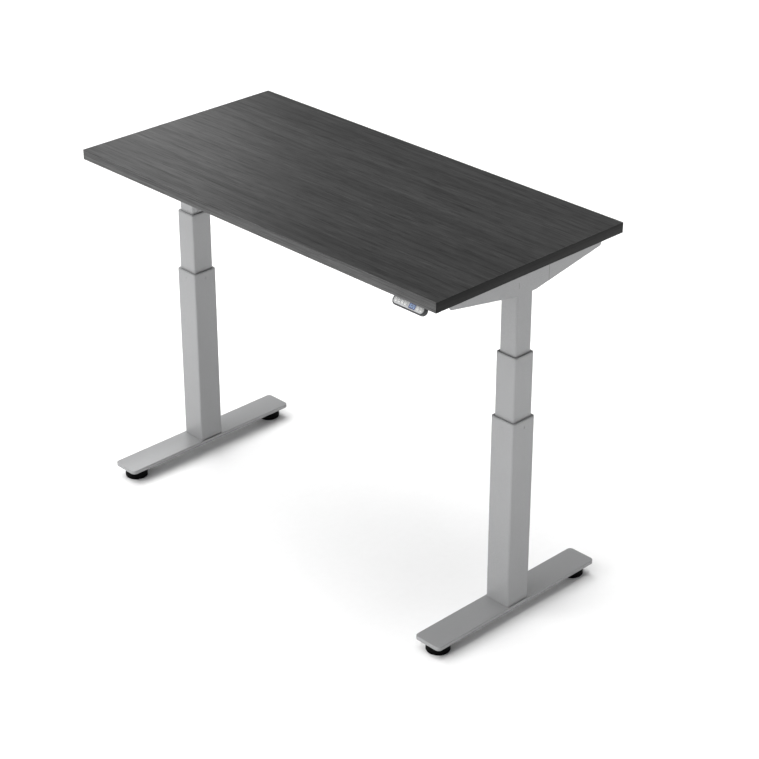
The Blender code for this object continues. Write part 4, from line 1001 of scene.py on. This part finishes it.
def make_digits(display_x, place):
    """Leaning seven-segment digits, and the point between the last two."""
    base, middle, top = 0.0, DIGIT_HALF, 2 * DIGIT_HALF
    left, right = 0.0, DIGIT_WIDTH
    lines = {
        "a": ((left, top), (right, top)),
        "b": ((right, middle), (right, top)),
        "c": ((right, base), (right, middle)),
        "d": ((left, base), (right, base)),
        "e": ((left, base), (left, middle)),
        "f": ((left, middle), (left, top)),
        "g": ((left, middle), (right, middle)),
    }
    shapes = []
    for index, digit in enumerate(DIGITS):
        start = display_x - DIGITS_FROM + index * DIGIT_PITCH
        for letter in SEGMENTS[digit]:
            corners = [
                (start + x + DIGIT_SLANT * y, y - DIGIT_HALF) for x, y in segment(*lines[letter])
            ]
            shapes.append(outlined([corners], DIGIT_THICKNESS))
    dot = [(display_x + POINT_AT + x, y - DIGIT_HALF) for x, y, _ in circle(POINT_RADIUS, 0, 12)]
    shapes.append(outlined([dot], DIGIT_THICKNESS))
    lift = place @ Matrix.Translation((0, 0, FACE_TOP))
    shapes = [moved(shape, lift) for shape in shapes]
    add_piece("display_digits", shapes, "display_digits", "desk")


def segment(first, last):
    """The six corners of a bar with pointed ends between two points."""
    first, last = Vector(first), Vector(last)
    along = (last - first).normalized() * BAR_HALF
    across = Vector((-along.y, along.x))
    first += along * BAR_INSET
    last -= along * BAR_INSET
    return [
        first - along, first + across, last + across, last + along, last - across, first - across
    ]


# --- studio --------------------------------------------------------------------------


def make_camera():
    data = bpy.data.cameras.new("camera")
    data.lens = CAMERA_LENS
    data.sensor_width = CAMERA_SENSOR
    data.clip_end = CAMERA_REACH
    camera = bpy.data.objects.new("camera", data)
    camera.location = CAMERA_AT
    camera.rotation_euler = (math.pi / 2 - CAMERA_PITCH, 0, CAMERA_YAW)
    bpy.context.scene.collection.objects.link(camera)
    bpy.context.scene.camera = camera


def add_light(name, kind, at, toward, energy, **settings):
    """A light that shines from one place towards another."""
    data = bpy.data.lights.new(name, kind)
    data.energy = energy
    for setting, value in settings.items():
        setattr(data, setting, value)
    light = bpy.data.objects.new(name, data)
    light.matrix_world = facing(Vector(at) - Vector(toward), at)
    bpy.context.scene.collection.objects.link(light)


def make_world():
    """A pale studio: bright walls up to eye level under a dimmer ceiling, dimmer towards +X."""
    world = bpy.data.worlds.new("studio")
    world.use_nodes = True
    tree = world.node_tree
    toward = split_place(tree, "Generated")
    up = ramp(tree, toward["Z"], [(0.0, grey(1.0)), (0.08, grey(1.0)), (0.24, grey(0.3))])
    side = ramp(tree, toward["X"], [(0.1, grey(1.0)), (0.9, grey(0.72))])
    colour = mixed(tree, 1.0, up, side, "MULTIPLY")
    tree.links.new(colour, tree.nodes["Background"].inputs["Color"])
    tree.nodes["Background"].inputs["Strength"].default_value = 1.0
    bpy.context.scene.world = world


def make_floor():
    shape = bmesh.new()
    bmesh.ops.create_grid(shape, x_segments=12, y_segments=12, size=FLOOR_SIZE / 2)
    mesh = bpy.data.meshes.new("floor")
    shape.to_mesh(mesh)
    shape.free()
    floor = bpy.data.objects.new("floor", mesh)
    floor.location.z = cad_box[0].z - FLOOR_DROP
    mesh.materials.append(grained("floor_white", (0.97, 0.97, 0.97), 0.8, 60, 0.0001, 0.01))
    bpy.context.scene.collection.objects.link(floor)


def make_studio():
    make_camera()
    make_world()
    make_floor()
    add_light("overhead", "SUN", (-1.5, -0.2, 5), SUN_AIM, 3.2, angle=math.radians(70))
    add_light("key", "SUN", (-1.2, -4.2, 2.4), SUN_AIM, 1.75, angle=math.radians(60))
    add_light("sheen", "AREA", (-1.95, 0.85, 1.58), (-0.6, -0.1, 0.92), 4.5, size=0.8)
    bpy.context.scene.view_settings.view_transform = "Standard"


# --- assembly ------------------------------------------------------------------------


make_studio()
finish_cad_nodes()
make_desktop_edge()
for side_name, side_sign in SIDES.items():
    make_foot(side_name)
    make_glide(side_name, "front")
    make_glide(side_name, "rear")
    make_motor(side_name, side_sign)
make_frame_screws()
make_control_box_details()
for side_name, side_sign in SIDES.items():
    mirrored = [(side_sign * x, y, z) for x, y, z in MOTOR_LEAD]
    make_lead(f"{side_name}_motor_lead", MOTOR_LEAD_RADIUS, mirrored)
make_lead("handset_lead", HANDSET_LEAD_RADIUS, HANDSET_LEAD)
make_clips()
make_handset()
